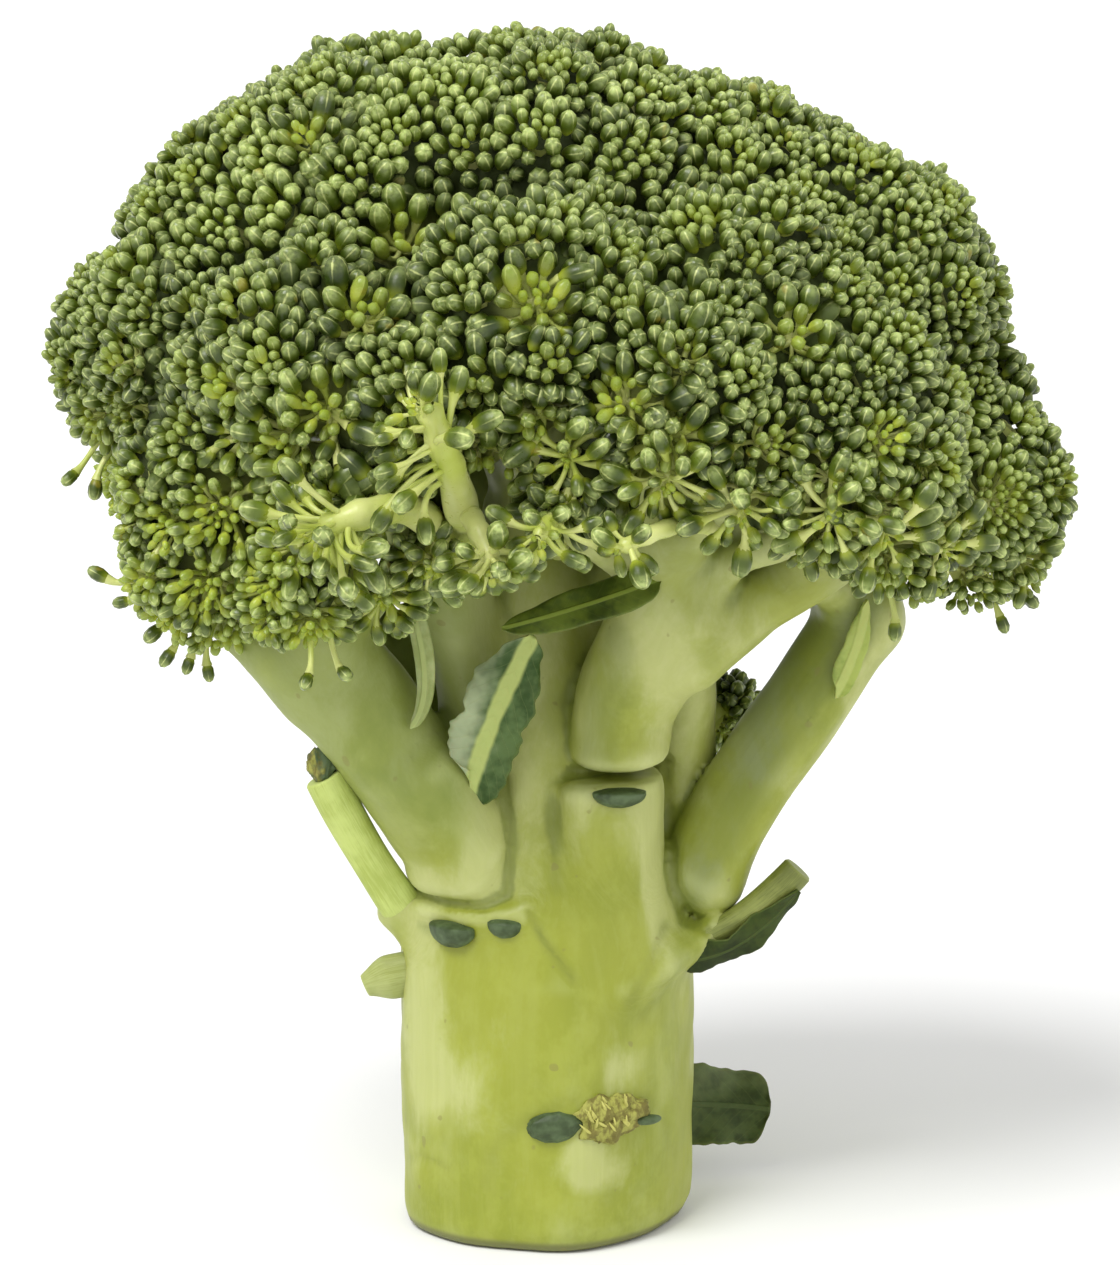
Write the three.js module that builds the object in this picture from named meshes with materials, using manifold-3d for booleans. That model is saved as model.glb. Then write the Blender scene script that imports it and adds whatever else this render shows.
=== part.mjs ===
// A head of broccoli as cut, standing on its stalk: a thick stalk that forks into branches, a crown of
// florets whose skin is raised into clusters of buds, small side shoots, and the leaves and leaf
// stalks left by trimming. Millimetres, +Z up, origin at the middle of the stalk's cut face.
import * as THREE from "three";
import { ConvexHull } from "three/addons/math/ConvexHull.js";
import { mergeVertices } from "three/addons/utils/BufferGeometryUtils.js";
import Module from "manifold-3d";

const wasm = await Module();
wasm.setup();

// ---- Driving dimensions ----------------------------------------------------------------------

const GAP = 0.35; // left between separate pieces
const CLEARANCE = 0.6; // how far one piece is grown before another is cut clear of it
const BUD_PITCH = 13.5; // between the bud clusters raised from a large floret's skin
const BUD_PITCH_SHARE = 0.78; // and on a small one, as a share of its radius
const BUD_RISE = 1.7; // how far a cluster stands out
const FLORET_SEAT = 0.62; // from a floret's middle to the end of its branch, as a share of its radius
const SKIRT_TUCK = 0.34; // how far a floret's underside draws in, as a share of its radius
const TWIG_SHARE = 0.22; // the twig that carries a floret, as a share of the floret's radius
const BRANCH_CLIMB = 0.35; // how far a branch's curve is first pulled up, as a share of its length
const BLADE_THICKNESS = 1;
const CROWN_FOCUS = new THREE.Vector3(0, 0, 92); // the florets face away from this point

const COLOURS = {
  stalk: [0xa9b860, 0.55],
  floret: [0x4c6334, 0.6],
  shoot: [0x9dad4e, 0.55],
  leaf: [0x3f5c34, 0.5],
  leafStalk: [0xb3bd62, 0.55],
  scar: [0x8d7440, 0.8],
};

// The stalk's sections from the cut face up: height, middle x and y, radius.
const STALK_SECTIONS = [
  [0, -0.8, 0, 20.8],
  [3.5, -0.4, 0, 23.2],
  [24, -0.2, 0, 24],
  [44, 0, 0, 23.9],
  [56, 0, 0.5, 21.6],
  [70, -0.5, 1.5, 17.5],
  [88, -1.5, 2, 13],
  [120, -2, -2, 5],
];

// The stalk and the branches that are solids of their own, each cut clear of the ones before it.
const LIMBS = [
  "stalk",
  "branch_front_right",
  "branch_left",
  "branch_front_left",
  "branch_right",
  "branch_left_back",
  "branch_back",
  "branch_back_right",
];

// Each branch stands out of the stalk with a rounded foot below its root, and divides at its fork.
// It belongs to one of the limbs above. climb is how steeply it sets off, where that isn't the usual.
const BRANCHES = {
  middle: { limb: "stalk", root: [-2, -1, 104], fork: [-2, -3, 127], radii: [8.5, 7] },
  left: { limb: "branch_left", root: [-14.5, -10, 65], fork: [-36.6, -15.5, 98], radii: [8.8, 9], climb: 0 },
  left_back: { limb: "branch_left_back", root: [-15, 9, 64], fork: [-43, 8, 108], radii: [8, 7] },
  front_left: { limb: "branch_front_left", root: [-10, -6, 82], fork: [-19, -15, 114], radii: [7, 6.4] },
  front_right: { limb: "branch_front_right", root: [12, -12.5, 85.5], fork: [20.5, -18, 104], radii: [8, 9.6], climb: 0.2 },
  front_right_base: { limb: "stalk", root: [8.8, -8, 50], fork: [9.4, -10.5, 70], radii: [10.8, 9.6] },
  right: { limb: "branch_right", root: [25, -4, 58.5], fork: [50.8, -4, 100], radii: [7.2, 6.6], climb: 0.06 },
  right_upper: { limb: "stalk", root: [5, 2, 92], fork: [25, 0, 118], radii: [6.6, 6] },
  back: { limb: "branch_back", root: [-3, 12, 80], fork: [-4, 27, 106], radii: [8.6, 7] },
  back_right: { limb: "branch_back_right", root: [21.5, 9.5, 52.5], fork: [52.5, 15.5, 95.5], radii: [6.6, 5.8], climb: 0.08 },
  back_low: { limb: "stalk", root: [13, 14, 56], fork: [24, 26, 68], radii: [4.2, 3.6] },
};

// Each floret: middle x, y and z, radius, and the branch that carries it.
const FLORETS = {
  top: [0, -1, 164, 32, "middle"],
  top_left: [-27, 0, 162, 31.5, "middle"],
  top_right: [27, 3, 158.5, 29.5, "middle"],
  top_back: [0, 29, 149, 28, "middle"],
  front_middle: [-2, -32, 147, 25.5, "middle"],
  front_left: [-34, -27, 142, 24, "front_left"],
  front_left_low: [-20, -39, 138, 18, "front_left"],
  inner_left: [-20, -27, 118, 10, "front_left"],
  front_right_high: [28, -23, 148, 26, "right_upper"],
  front_right: [19, -41, 140, 20.5, "front_right"],
  right_front: [42, -29, 133, 24.5, "front_right"],
  rim_front: [30, -43, 128, 12, "front_right"],
  right_high: [46.5, -1, 149.5, 28.5, "right_upper"],
  right: [55, 4, 129, 25.5, "right"],
  right_low: [65.5, -6, 118.5, 20, "right"],
  right_front_low: [51, -26, 119, 17, "right"],
  left_high: [-43.3, 6, 156.5, 27, "left_back"],
  left: [-51, -9, 145, 23, "left_back"],
  far_left: [-62, 2, 141.5, 20, "left_back"],
  left_inner: [-50, -17, 126, 20, "left"],
  left_low: [-52.5, -13, 111.5, 17.5, "left"],
  front_low_left: [-36, -28, 111, 15.5, "left"],
  back_left: [-35, 29, 143, 26, "back"],
  back_right: [32, 30, 143, 27, "back"],
  rim_back_left: [-57, 23, 121, 20, "left_back"],
  rim_back_left_mid: [-35, 42, 117, 20, "back"],
  rim_back: [-6, 49, 120, 21, "back"],
  rim_back_right_mid: [24, 45, 119, 20, "back"],
  rim_back_right: [50, 28, 118, 21, "back_right"],
  back_low: [28, 34, 77, 11, "back_low"],
  rim_middle: [5, -42, 127, 12, "front_right"],
  rim_left: [-29, -42, 125, 12, "front_left"],
  rim_right: [44, -39, 122, 11, "front_right"],
};

// Side shoots with open buds: the points of the stem's curve, its radius, how many buds, how long
// their stems are, and the way the fan opens.
const SHOOTS = {
  left_high: {
    stem: [[-13, -24, 118], [-8, -52, 123], [-16, -60, 141]],
    radius: 2.4,
    buds: 6,
    reach: 9,
    facing: [-1, -0.5, 0.1],
  },
  left_bent: {
    stem: [[-17, -18, 112], [-19, -50, 128], [-35, -54, 119]],
    radius: 2,
    buds: 6,
    reach: 8,
    facing: [-1, -0.4, -0.5],
  },
  left_hanging: {
    stem: [[-11, -16, 112], [-11, -44, 123], [-7, -48, 111]],
    radius: 1.6,
    buds: 5,
    reach: 6,
    facing: [0.3, -0.4, -1],
  },
  middle: {
    stem: [[2, -10, 112], [4, -48, 127], [-1, -56, 120]],
    radius: 1.7,
    buds: 5,
    reach: 6,
    facing: [-0.1, -0.6, -0.8],
  },
  right: {
    stem: [[24, -27, 112], [22, -48, 125], [12, -53, 117]],
    radius: 1.8,
    buds: 5,
    reach: 6,
    facing: [-1, -0.4, -0.4],
  },
};

// Leaves: the points of the midrib's curve, the way the blade's upper side faces, the full width,
// and how high its edges wave.
const LEAVES = {
  leaf_narrow: {
    rib: [[17.5, -28.5, 110.3], [7, -33, 106.8], [-6.5, -31, 103]],
    facing: [0.1, -0.9, 0.45],
    width: 6.4,
    wave: 0.5,
  },
  leaf_broad: {
    rib: [[-12, -18.5, 75.5], [-9, -21.5, 87], [-2, -22, 100.5]],
    facing: [0.2, -1, 0],
    width: 13,
    wave: 1.2,
  },
  leaf_strip: {
    rib: [[-21, -21, 85.5], [-16.5, -22.5, 91], [-20.6, -22.5, 105]],
    facing: [-0.4, -1, 0],
    width: 3.6,
    wave: 0,
  },
  leaf_sliver: {
    rib: [[46, -12, 89.5], [49.5, -12.5, 96], [50.8, -12.5, 104.5]],
    facing: [0.3, -1, 0.2],
    width: 4.5,
    wave: 0.2,
  },
  leaf_right: {
    rib: [[21, -10, 44], [31, -10.5, 43], [40.5, -9.5, 55]],
    facing: [0.3, -0.9, -0.3],
    width: 5.4,
    wave: 0.8,
  },
  leaf_low: {
    rib: [[16, 13, 14], [27, 22, 12], [38, 20, 11.2]],
    facing: [0.1, -1, 0.5],
    width: 14.5,
    wave: 1.2,
  },
};

// Stubs of trimmed leaf stalks: the points of the curve, width, thickness.
const LEAF_STALKS = {
  leaf_stalk_left: { curve: [[-20, -9, 49], [-27.5, -11.5, 60.5], [-35, -14.5, 76]], width: 7, thick: 4.6 },
  leaf_stalk_left_low: { curve: [[-19, -6, 42], [-24, -6, 42], [-29, -6, 40]], width: 5, thick: 7.8 },
  leaf_stalk_right: { curve: [[18, -8, 45], [30.5, -8, 48.5], [40.5, -8, 59.5]], width: 6.2, thick: 4.4 },
};

// Scraps that lie on the stalk or on a cut end: middle, the three half sizes, turn about Z in degrees.
const SCRAPS = {
  scrap_left_stub: { at: [-35.5, -14.5, 78.4], half: [2.6, 2.4, 3.2], turn: 0, finish: "scar" },
  scrap_left_ledge: { at: [-14.8, -17.4, 52], half: [4.4, 2.6, 2.4], turn: -42, finish: "leaf" },
  scrap_left_ledge_small: { at: [-6.4, -21.3, 54], half: [2.8, 2.2, 2], turn: -16, finish: "leaf" },
  scrap_right_ledge: { at: [11.7, -19.4, 74], half: [4.4, 2.6, 1.8], turn: 10, finish: "leaf" },
  leaf_scar: {
    at: [10.2, -21.2, 22.5],
    half: [7, 2.9, 4.4],
    turn: 26,
    finish: "scar",
    beside: { at: [2.2, -23.9, 21.8], half: [5.6, 2.1, 2.7], turn: 8 },
  },
};

// ---- Small helpers ---------------------------------------------------------------------------

const vec = (xyz) => new THREE.Vector3(...xyz);
const mix = THREE.MathUtils.lerp;
const smooth = THREE.MathUtils.smoothstep;

// Repeatable random numbers from 0 to 1.
function randomFrom(seed) {
  let state = seed >>> 0;
  return () => {
    state = (state + 0x6d2b79f5) >>> 0;
    let t = Math.imul(state ^ (state >>> 15), state | 1);
    t ^= t + Math.imul(t ^ (t >>> 7), t | 61);
    return ((t ^ (t >>> 14)) >>> 0) / 4294967296;
  };
}

function solidOf(geometry) {
  const bare = new THREE.BufferGeometry();
  bare.setAttribute("position", geometry.getAttribute("position"));
  bare.setIndex(geometry.index);
  const merged = mergeVertices(bare, 1e-4);
  return new wasm.Manifold(
    new wasm.Mesh({
      numProp: 3,
      vertProperties: new Float32Array(merged.attributes.position.array),
      triVerts: new Uint32Array(merged.index.array),
    }),
  );
}

function geometryOf(solid) {
  const { vertProperties, triVerts } = solid.getMesh();
  const geometry = new THREE.BufferGeometry();
  geometry.setAttribute(
    "position",
    new THREE.BufferAttribute(new Float32Array(vertProperties), 3),
  );
  geometry.setIndex(new THREE.BufferAttribute(new Uint32Array(triVerts), 1));
  return geometry;
}

// Cuts can leave loose scraps: only the largest body is kept.
function largestBody(solid) {
  const bodies = solid.decompose();
  return bodies.reduce((a, b) => (b.volume() > a.volume() ? b : a));
}

function joined(solids) {
  return solids.reduce((a, b) => a.add(b));
}

function closedGeometry(points, triangles) {
  const geometry = new THREE.BufferGeometry();
  const flat = points.flatMap((p) => [p.x, p.y, p.z]);
  geometry.setAttribute(
    "position",
    new THREE.BufferAttribute(new Float32Array(flat), 3),
  );
  geometry.setIndex(triangles.flat());
  return geometry;
}

// ---- Stalk and branches ----------------------------------------------------------------------

// How a rounded end goes on past the end of a limb: the distance and radius as shares of its radius.
const ROUND = [[0.95, 0.38], [0.62, 0.8]];
const FLAT = [];

// A limb along a curve. radiusAt gives the radius at a share of its length; grow thickens it all
// round and starts it earlier, and it ends later by carry.
function limb(curve, radiusAt, options) {
  const { steps, sides, flatten = 1, start = FLAT, end = FLAT, grow = 0, carry = grow } = options;
  const stations = [
    ...start.map(([past, share]) => [0, -past, share, 0]),
    ...Array.from({ length: steps + 1 }, (_, i) => [i / steps, 0, 1, 0]),
    ...end.toReversed().map(([past, share]) => [1, past, share, 0]),
  ];
  const carried = (station, by) => (by ? [[...station.slice(0, 3), by]] : []);
  stations.unshift(...carried(stations[0], -grow));
  stations.push(...carried(stations.at(-1), carry));
  let across = new THREE.Vector3(1, 0.2, 0.1);
  const rings = stations.map(([t, past, share, further]) => {
    const along = curve.getTangent(t).normalize();
    across = across.clone().addScaledVector(along, -across.dot(along)).normalize();
    const other = new THREE.Vector3().crossVectors(along, across);
    const radius = radiusAt(t);
    const middle = curve.getPoint(t).addScaledVector(along, past * radius + further);
    const wide = share * radius + grow;
    const thick = share * radius * flatten + grow;
    return Array.from({ length: sides }, (_, k) => {
      const angle = (2 * Math.PI * k) / sides;
      return middle
        .clone()
        .addScaledVector(across, wide * Math.cos(angle))
        .addScaledVector(other, thick * Math.sin(angle));
    });
  });
  return skinned(rings);
}

// A closed skin over rings of points that all have the same count, the first ring lowest.
function skinned(rings) {
  const sides = rings[0].length;
  const points = rings.flat();
  const triangles = [];
  for (let i = 0; i + 1 < rings.length; i++) {
    for (let k = 0; k < sides; k++) {
      const a = i * sides + k;
      const b = i * sides + ((k + 1) % sides);
      triangles.push([a, b, a + sides], [b, b + sides, a + sides]);
    }
  }
  const last = (rings.length - 1) * sides;
  for (let k = 1; k + 1 < sides; k++) {
    triangles.push([0, k + 1, k], [last, last + k, last + k + 1]);
  }
  return closedGeometry(points, triangles);
}

function stalkBody(grow) {
  const SIDES = 18;
  const RIDGE = 0.025; // the section is very slightly five-sided
  const rings = STALK_SECTIONS.map(([z, x, y, radius]) =>
    Array.from({ length: SIDES }, (_, k) => {
      const angle = (2 * Math.PI * k) / SIDES;
      const r = (radius + grow) * (1 + RIDGE * Math.cos(5 * angle + z / 40));
      return new THREE.Vector3(x + r * Math.cos(angle), y + r * Math.sin(angle), z);
    }),
  );
  return solidOf(skinned(rings));
}

// A branch climbs close to the stalk from its rounded foot, then leans out to its fork.
function branchBody({ root, fork, radii, climb = BRANCH_CLIMB }, grow) {
  const from = vec(root);
  const to = vec(fork);
  const pull = new THREE.Vector3(0, 0, from.distanceTo(to) * climb);
  const curve = new THREE.CubicBezierCurve3(
    from,
    from.clone().lerp(to, 0.15).add(pull),
    to.clone().lerp(from, 0.3),
    to,
  );
  const shape = (t) => mix(...radii, t);
  return solidOf(limb(curve, shape, { steps: 4, sides: 8, start: ROUND, end: ROUND, grow }));
}

function floretAxis(centre) {
  return centre.clone().sub(CROWN_FOCUS).normalize();
}

// The twig from a branch's fork to a floret's seat, where it ends flat and square to the floret.
function twigBody([x, y, z, size, branch], grow = 0, carry = grow) {
  const { root, fork, radii } = BRANCHES[branch];
  const start = vec(fork);
  const heading = start.clone().sub(vec(root)).normalize();
  const centre = new THREE.Vector3(x, y, z);
  const axis = floretAxis(centre);
  const seat = centre.addScaledVector(axis, -(size * FLORET_SEAT + GAP));
  const reach = start.distanceTo(seat);
  const curve = new THREE.CubicBezierCurve3(
    start,
    start.clone().addScaledVector(heading, reach * 0.2),
    seat.clone().addScaledVector(axis, -reach * 0.45),
    seat,
  );
  const radius = size * TWIG_SHARE;
  const foot = Math.max(radius, 0.62 * radii[1]);
  const shape = (t) => mix(foot, radius, smooth(t, 0, 0.6)) * (1 + 0.2 * smooth(t, 0.7, 1));
  return solidOf(limb(curve, shape, { steps: 3, sides: 5, grow, carry }));
}

function trunkSolid(grow) {
  return joined([
    stalkBody(grow),
    ...Object.values(BRANCHES).map((branch) => branchBody(branch, grow)),
  ]);
}

// A limb with all its branches, and the twigs that they carry.
function limbSolid(name, grow = 0) {
  const branches = Object.values(BRANCHES).filter(({ limb }) => limb === name);
  const florets = Object.values(FLORETS).filter(([, , , , branch]) => BRANCHES[branch].limb === name);
  return joined([
    ...(name === "stalk" ? [stalkBody(grow)] : []),
    ...branches.map((branch) => branchBody(branch, grow)),
    ...florets.map((floret) => twigBody(floret, grow)),
  ]);
}

// ---- Florets ---------------------------------------------------------------------------------

// The flat limits between a floret and its neighbours, and the one its branch ends on. Each is a
// normal and its distance from the floret's middle, so that what is inside them all is convex.
function limitsOf(name) {
  const [x, y, z, size] = FLORETS[name];
  const centre = new THREE.Vector3(x, y, z);
  const limits = [
    { normal: floretAxis(centre).negate(), distance: size * FLORET_SEAT },
  ];
  for (const [other, [ox, oy, oz, otherSize]] of Object.entries(FLORETS)) {
    const normal = new THREE.Vector3(ox, oy, oz).sub(centre);
    const apart = normal.length();
    if (other === name || apart > size + otherSize + 4) continue;
    const shared = (apart ** 2 + size ** 2 - otherSize ** 2) / (2 * apart);
    const distance = THREE.MathUtils.clamp(shared, 0.3 * size, apart - 0.3 * otherSize);
    limits.push({ normal: normal.normalize(), distance: distance - GAP / 2 });
  }
  return limits;
}

// Bud directions on a sphere: each one that shows is raised, the ones around them are kept to carry
// the floret's edge, and only a few of the rest.
function budDirections(size, axis, limits, random) {
  const TURN = Math.PI * (3 - Math.sqrt(5)); // the golden angle
  const SPARSE = 4;
  const UNDERSIDE = -0.5; // cosine with the axis below which no bud is raised
  const EDGE = 1.22; // how far past its limits the edge goes
  const pitch = Math.min(BUD_PITCH, BUD_PITCH_SHARE * size);
  const count = Math.round((4 * Math.PI * size ** 2) / (0.866 * pitch ** 2));
  const spin = new THREE.Quaternion().setFromUnitVectors(
    new THREE.Vector3(0, 0, 1),
    axis,
  );
  const directions = [];
  const raised = [];
  for (let k = 0; k < count; k++) {
    const height = 1 - (2 * (k + 0.5)) / count;
    const angle = k * TURN + 0.25 * random();
    const across = Math.sqrt(1 - height * height);
    const direction = new THREE.Vector3(
      across * Math.cos(angle),
      across * Math.sin(angle),
      height,
    ).applyQuaternion(spin);
    const past = Math.max(
      ...limits.map((l) => (l.normal.dot(direction) * size) / l.distance),
    );
    const shows = past < 1 && direction.dot(axis) > UNDERSIDE;
    if (!shows && past > EDGE && k % SPARSE) continue;
    directions.push(direction);
    raised.push(shows);
  }
  return { directions, raised };
}

// The triangles between the directions give the hollows, and each direction's hollows in order.
function hollowsBetween(directions) {
  const hull = new ConvexHull().setFromPoints(directions);
  const indexOf = new Map(directions.map((d, i) => [d, i]));
  const hollows = [];
  const around = directions.map(() => []);
  for (const face of hull.faces) {
    const middle = new THREE.Vector3();
    let edge = face.edge;
    do {
      middle.add(edge.head().point);
      around[indexOf.get(edge.head().point)].push(hollows.length);
      edge = edge.next;
    } while (edge !== face.edge);
    hollows.push(middle.normalize());
  }
  directions.forEach((direction, i) => {
    const side = new THREE.Vector3(0.31, 0.87, 0.38).cross(direction).normalize();
    const up = new THREE.Vector3().crossVectors(direction, side);
    const angleOf = (h) => Math.atan2(hollows[h].dot(up), hollows[h].dot(side));
    around[i].sort((a, b) => angleOf(a) - angleOf(b));
  });
  return { hollows, around };
}

function floretSolid(name, index) {
  const [x, y, z, size] = FLORETS[name];
  const centre = new THREE.Vector3(x, y, z);
  const axis = floretAxis(centre);
  const limits = limitsOf(name);
  const random = randomFrom(71 + index);
  const { directions, raised } = budDirections(size, axis, limits, random);
  const { hollows, around } = hollowsBetween(directions);

  // A point of the skin: the floret's rounded body, raised or sunk, and kept inside its limits.
  const skin = (direction, rise) => {
    const under = smooth(-direction.dot(axis), 0, 1);
    let reach = size * (1 - SKIRT_TUCK * under) - BUD_RISE + rise;
    for (const { normal, distance } of limits) {
      const facing = normal.dot(direction);
      if (facing > 1e-3) reach = Math.min(reach, distance / facing);
    }
    return centre.clone().addScaledVector(direction, reach);
  };

  const points = hollows.map((hollow) => skin(hollow, -BUD_RISE * 0.6));
  const triangles = [];
  directions.forEach((direction, i) => {
    const top = points.push(skin(direction, raised[i] ? BUD_RISE : 0)) - 1;
    const rim = around[i];
    const shoulder = raised[i]
      ? rim.map((h) => {
          const between = direction.clone().lerp(hollows[h], 0.55).normalize();
          return points.push(skin(between, BUD_RISE * 0.55)) - 1;
        })
      : rim;
    rim.forEach((hollow, k) => {
      const next = (k + 1) % rim.length;
      triangles.push([top, shoulder[k], shoulder[next]]);
      if (raised[i]) {
        triangles.push([shoulder[k], hollow, rim[next]]);
        triangles.push([shoulder[k], rim[next], shoulder[next]]);
      }
    });
  });
  return solidOf(closedGeometry(points, triangles));
}

// ---- Side shoots -----------------------------------------------------------------------------

const BUD_FACETS = [5, 3];

function budSolid(middle, axis, radius) {
  const geometry = new THREE.SphereGeometry(radius, ...BUD_FACETS);
  geometry.scale(1, 1.35, 1);
  geometry.applyQuaternion(
    new THREE.Quaternion().setFromUnitVectors(new THREE.Vector3(0, 1, 0), axis),
  );
  geometry.translate(...middle);
  return solidOf(geometry);
}

// A stem with a fan of stalked buds around its tip.
function shootSolid({ stem, radius, buds, reach, facing }, index, grow = 0) {
  const BUD_RADIUS = 2.1;
  const PEDICEL_RADIUS = 0.75;
  const TURN = 2.4; // from one bud to the next around the fan
  const curve = new THREE.QuadraticBezierCurve3(...stem.map(vec));
  const random = randomFrom(311 + index);
  const axis = vec(facing).normalize();
  const side = new THREE.Vector3(0, 0, 1).cross(axis).normalize();
  const up = new THREE.Vector3().crossVectors(axis, side);
  const shape = (t) => radius * mix(1.1, 0.75, t);
  const parts = [solidOf(limb(curve, shape, { steps: 3, sides: 6, end: ROUND, grow }))];
  for (let k = 0; k < buds; k++) {
    const from = curve.getPoint(mix(0.72, 1, (k + 0.5) / buds));
    const angle = k * TURN + 0.3 * random();
    const open = mix(0.25, 0.95, ((k * 5) % buds) / buds);
    const way = axis
      .clone()
      .addScaledVector(side, open * Math.cos(angle))
      .addScaledVector(up, open * Math.sin(angle))
      .normalize();
    const to = from.clone().addScaledVector(way, reach * mix(0.8, 1.1, random()));
    const pedicel = new THREE.LineCurve3(from, to);
    parts.push(solidOf(limb(pedicel, () => PEDICEL_RADIUS, { steps: 1, sides: 4, grow })));
    parts.push(budSolid(to, way, BUD_RADIUS + grow));
  }
  return largestBody(joined(parts));
}

// ---- Leaves and scraps -----------------------------------------------------------------------

// A blade of even thickness, waved along its edges, with both faces divided alike.
function bladeSolid({ rib, facing, width, wave }) {
  const STEPS = 7;
  const ACROSS = 4;
  const curve = new THREE.QuadraticBezierCurve3(...rib.map(vec));
  const faces = [1, -1].map((side) => {
    const rows = [];
    for (let i = 0; i <= STEPS; i++) {
      const t = i / STEPS;
      const along = curve.getTangent(t);
      const across = vec(facing).cross(along).normalize();
      const out = new THREE.Vector3().crossVectors(along, across);
      const half = (width / 2) * Math.sqrt(mix(0.3, 1, Math.sin(Math.PI * mix(0.08, 0.95, t))));
      for (let j = 0; j <= ACROSS; j++) {
        const share = (2 * j) / ACROSS - 1;
        const lift = wave * share ** 2 * Math.sin(i * 1.9 + (share > 0 ? 1.5 : 0));
        rows.push(
          curve
            .getPoint(t)
            .addScaledVector(across, half * share)
            .addScaledVector(out, lift + side * 0.5 * BLADE_THICKNESS),
        );
      }
    }
    return rows;
  });
  return solidOf(closedBlade(faces, STEPS, ACROSS));
}

// Joins the two faces of a blade, both grids of the same size, around their edges.
function closedBlade([front, back], steps, across) {
  const row = across + 1;
  const offset = front.length;
  const triangles = [];
  for (let i = 0; i < steps; i++) {
    for (let j = 0; j < across; j++) {
      const a = i * row + j;
      const corners = [a, a + 1, a + row + 1, a + row];
      const [p, q, r, s] = corners;
      triangles.push([p, r, q], [p, s, r]);
      const [bp, bq, br, bs] = corners.map((c) => c + offset);
      triangles.push([bp, bq, br], [bp, br, bs]);
    }
  }
  const edge = [];
  for (let j = 0; j < across; j++) edge.push(j);
  for (let i = 0; i < steps; i++) edge.push(i * row + across);
  for (let j = across; j > 0; j--) edge.push(steps * row + j);
  for (let i = steps; i > 0; i--) edge.push(i * row);
  edge.forEach((a, k) => {
    const b = edge[(k + 1) % edge.length];
    triangles.push([a, b + offset, a + offset], [a, b, b + offset]);
  });
  return closedGeometry([...front, ...back], triangles);
}

function leafStalkSolid({ curve, width, thick }, grow = 0) {
  const path = new THREE.QuadraticBezierCurve3(...curve.map(vec));
  const flatten = thick / width;
  return solidOf(limb(path, () => width / 2, { steps: 4, sides: 9, flatten, grow }));
}

// beside is a second lump that has grown together with the first.
function scrapSolid({ at, half, turn, beside }) {
  const geometry = new THREE.SphereGeometry(1, 9, 6);
  geometry.scale(...half);
  geometry.rotateZ(THREE.MathUtils.degToRad(turn));
  geometry.translate(...at);
  const solid = solidOf(geometry);
  return beside ? solid.add(scrapSolid(beside)) : solid;
}

// ---- The whole head --------------------------------------------------------------------------

function pieceOf(name, solid, finish) {
  const [color, roughness] = COLOURS[finish];
  const material = new THREE.MeshStandardMaterial({ color, roughness, metalness: 0 });
  const geometry = geometryOf(solid);
  geometry.computeVertexNormals();
  const mesh = new THREE.Mesh(geometry, material);
  mesh.name = name;
  return mesh;
}

// What is left of a solid once it is clear of the others, which have been grown by the gap.
function clearOf(solid, grown) {
  return grown.reduce(
    (left, other) =>
      left.intersect(other).volume() > 0 ? largestBody(left.subtract(other)) : left,
    solid,
  );
}

function solidsOf(table, build) {
  return new Map(Object.entries(table).map(([name, row], i) => [name, build(row, i)]));
}

const head = new THREE.Group();
LIMBS.forEach((name, index) => {
  const earlier = LIMBS.slice(0, index).map((other) => limbSolid(other, CLEARANCE));
  head.add(pieceOf(name, clearOf(largestBody(limbSolid(name)), earlier), "stalk"));
});

const grownTrunk = trunkSolid(CLEARANCE);
const grownTwigs = solidsOf(FLORETS, (floret) => twigBody(floret, CLEARANCE));
const grownStalk = joined([grownTrunk, ...grownTwigs.values()]);
const grownShoots = solidsOf(SHOOTS, (shoot, i) => shootSolid(shoot, i, CLEARANCE));
const grownStubs = solidsOf(LEAF_STALKS, (stub) => leafStalkSolid(stub, CLEARANCE));

Object.keys(FLORETS).forEach((name, index) => {
  const ownTwig = twigBody(FLORETS[name], CLEARANCE, 0);
  const nearbyTwigs = new Map(grownTwigs).set(name, ownTwig).values();
  const inTheWay = [grownTrunk, ...nearbyTwigs, ...grownShoots.values()];
  head.add(pieceOf(`floret_${name}`, clearOf(floretSolid(name, index), inTheWay), "floret"));
});
Object.keys(SHOOTS).forEach((name, index) => {
  const earlier = [...grownShoots.values()].slice(0, index);
  const solid = clearOf(shootSolid(SHOOTS[name], index), [grownStalk, ...earlier]);
  head.add(pieceOf(`shoot_${name}`, solid, "shoot"));
});
for (const [name, stub] of Object.entries(LEAF_STALKS)) {
  head.add(pieceOf(name, clearOf(leafStalkSolid(stub), [grownStalk]), "leafStalk"));
}
for (const [name, leaf] of Object.entries(LEAVES)) {
  const inTheWay = [grownStalk, ...grownStubs.values(), ...grownShoots.values()];
  head.add(pieceOf(name, clearOf(bladeSolid(leaf), inTheWay), "leaf"));
}
for (const [name, scrap] of Object.entries(SCRAPS)) {
  const solid = clearOf(scrapSolid(scrap), [grownStalk, ...grownStubs.values()]);
  head.add(pieceOf(name, solid, scrap.finish));
}

export default head;
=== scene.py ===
"""A broccoli head dressed for looks: buds in rosettes, a grown stalk, shoots and leaves.

The tables hold millimetres, as the solids' own dimensions do; meshes are made in metres.
"""

import math

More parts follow.
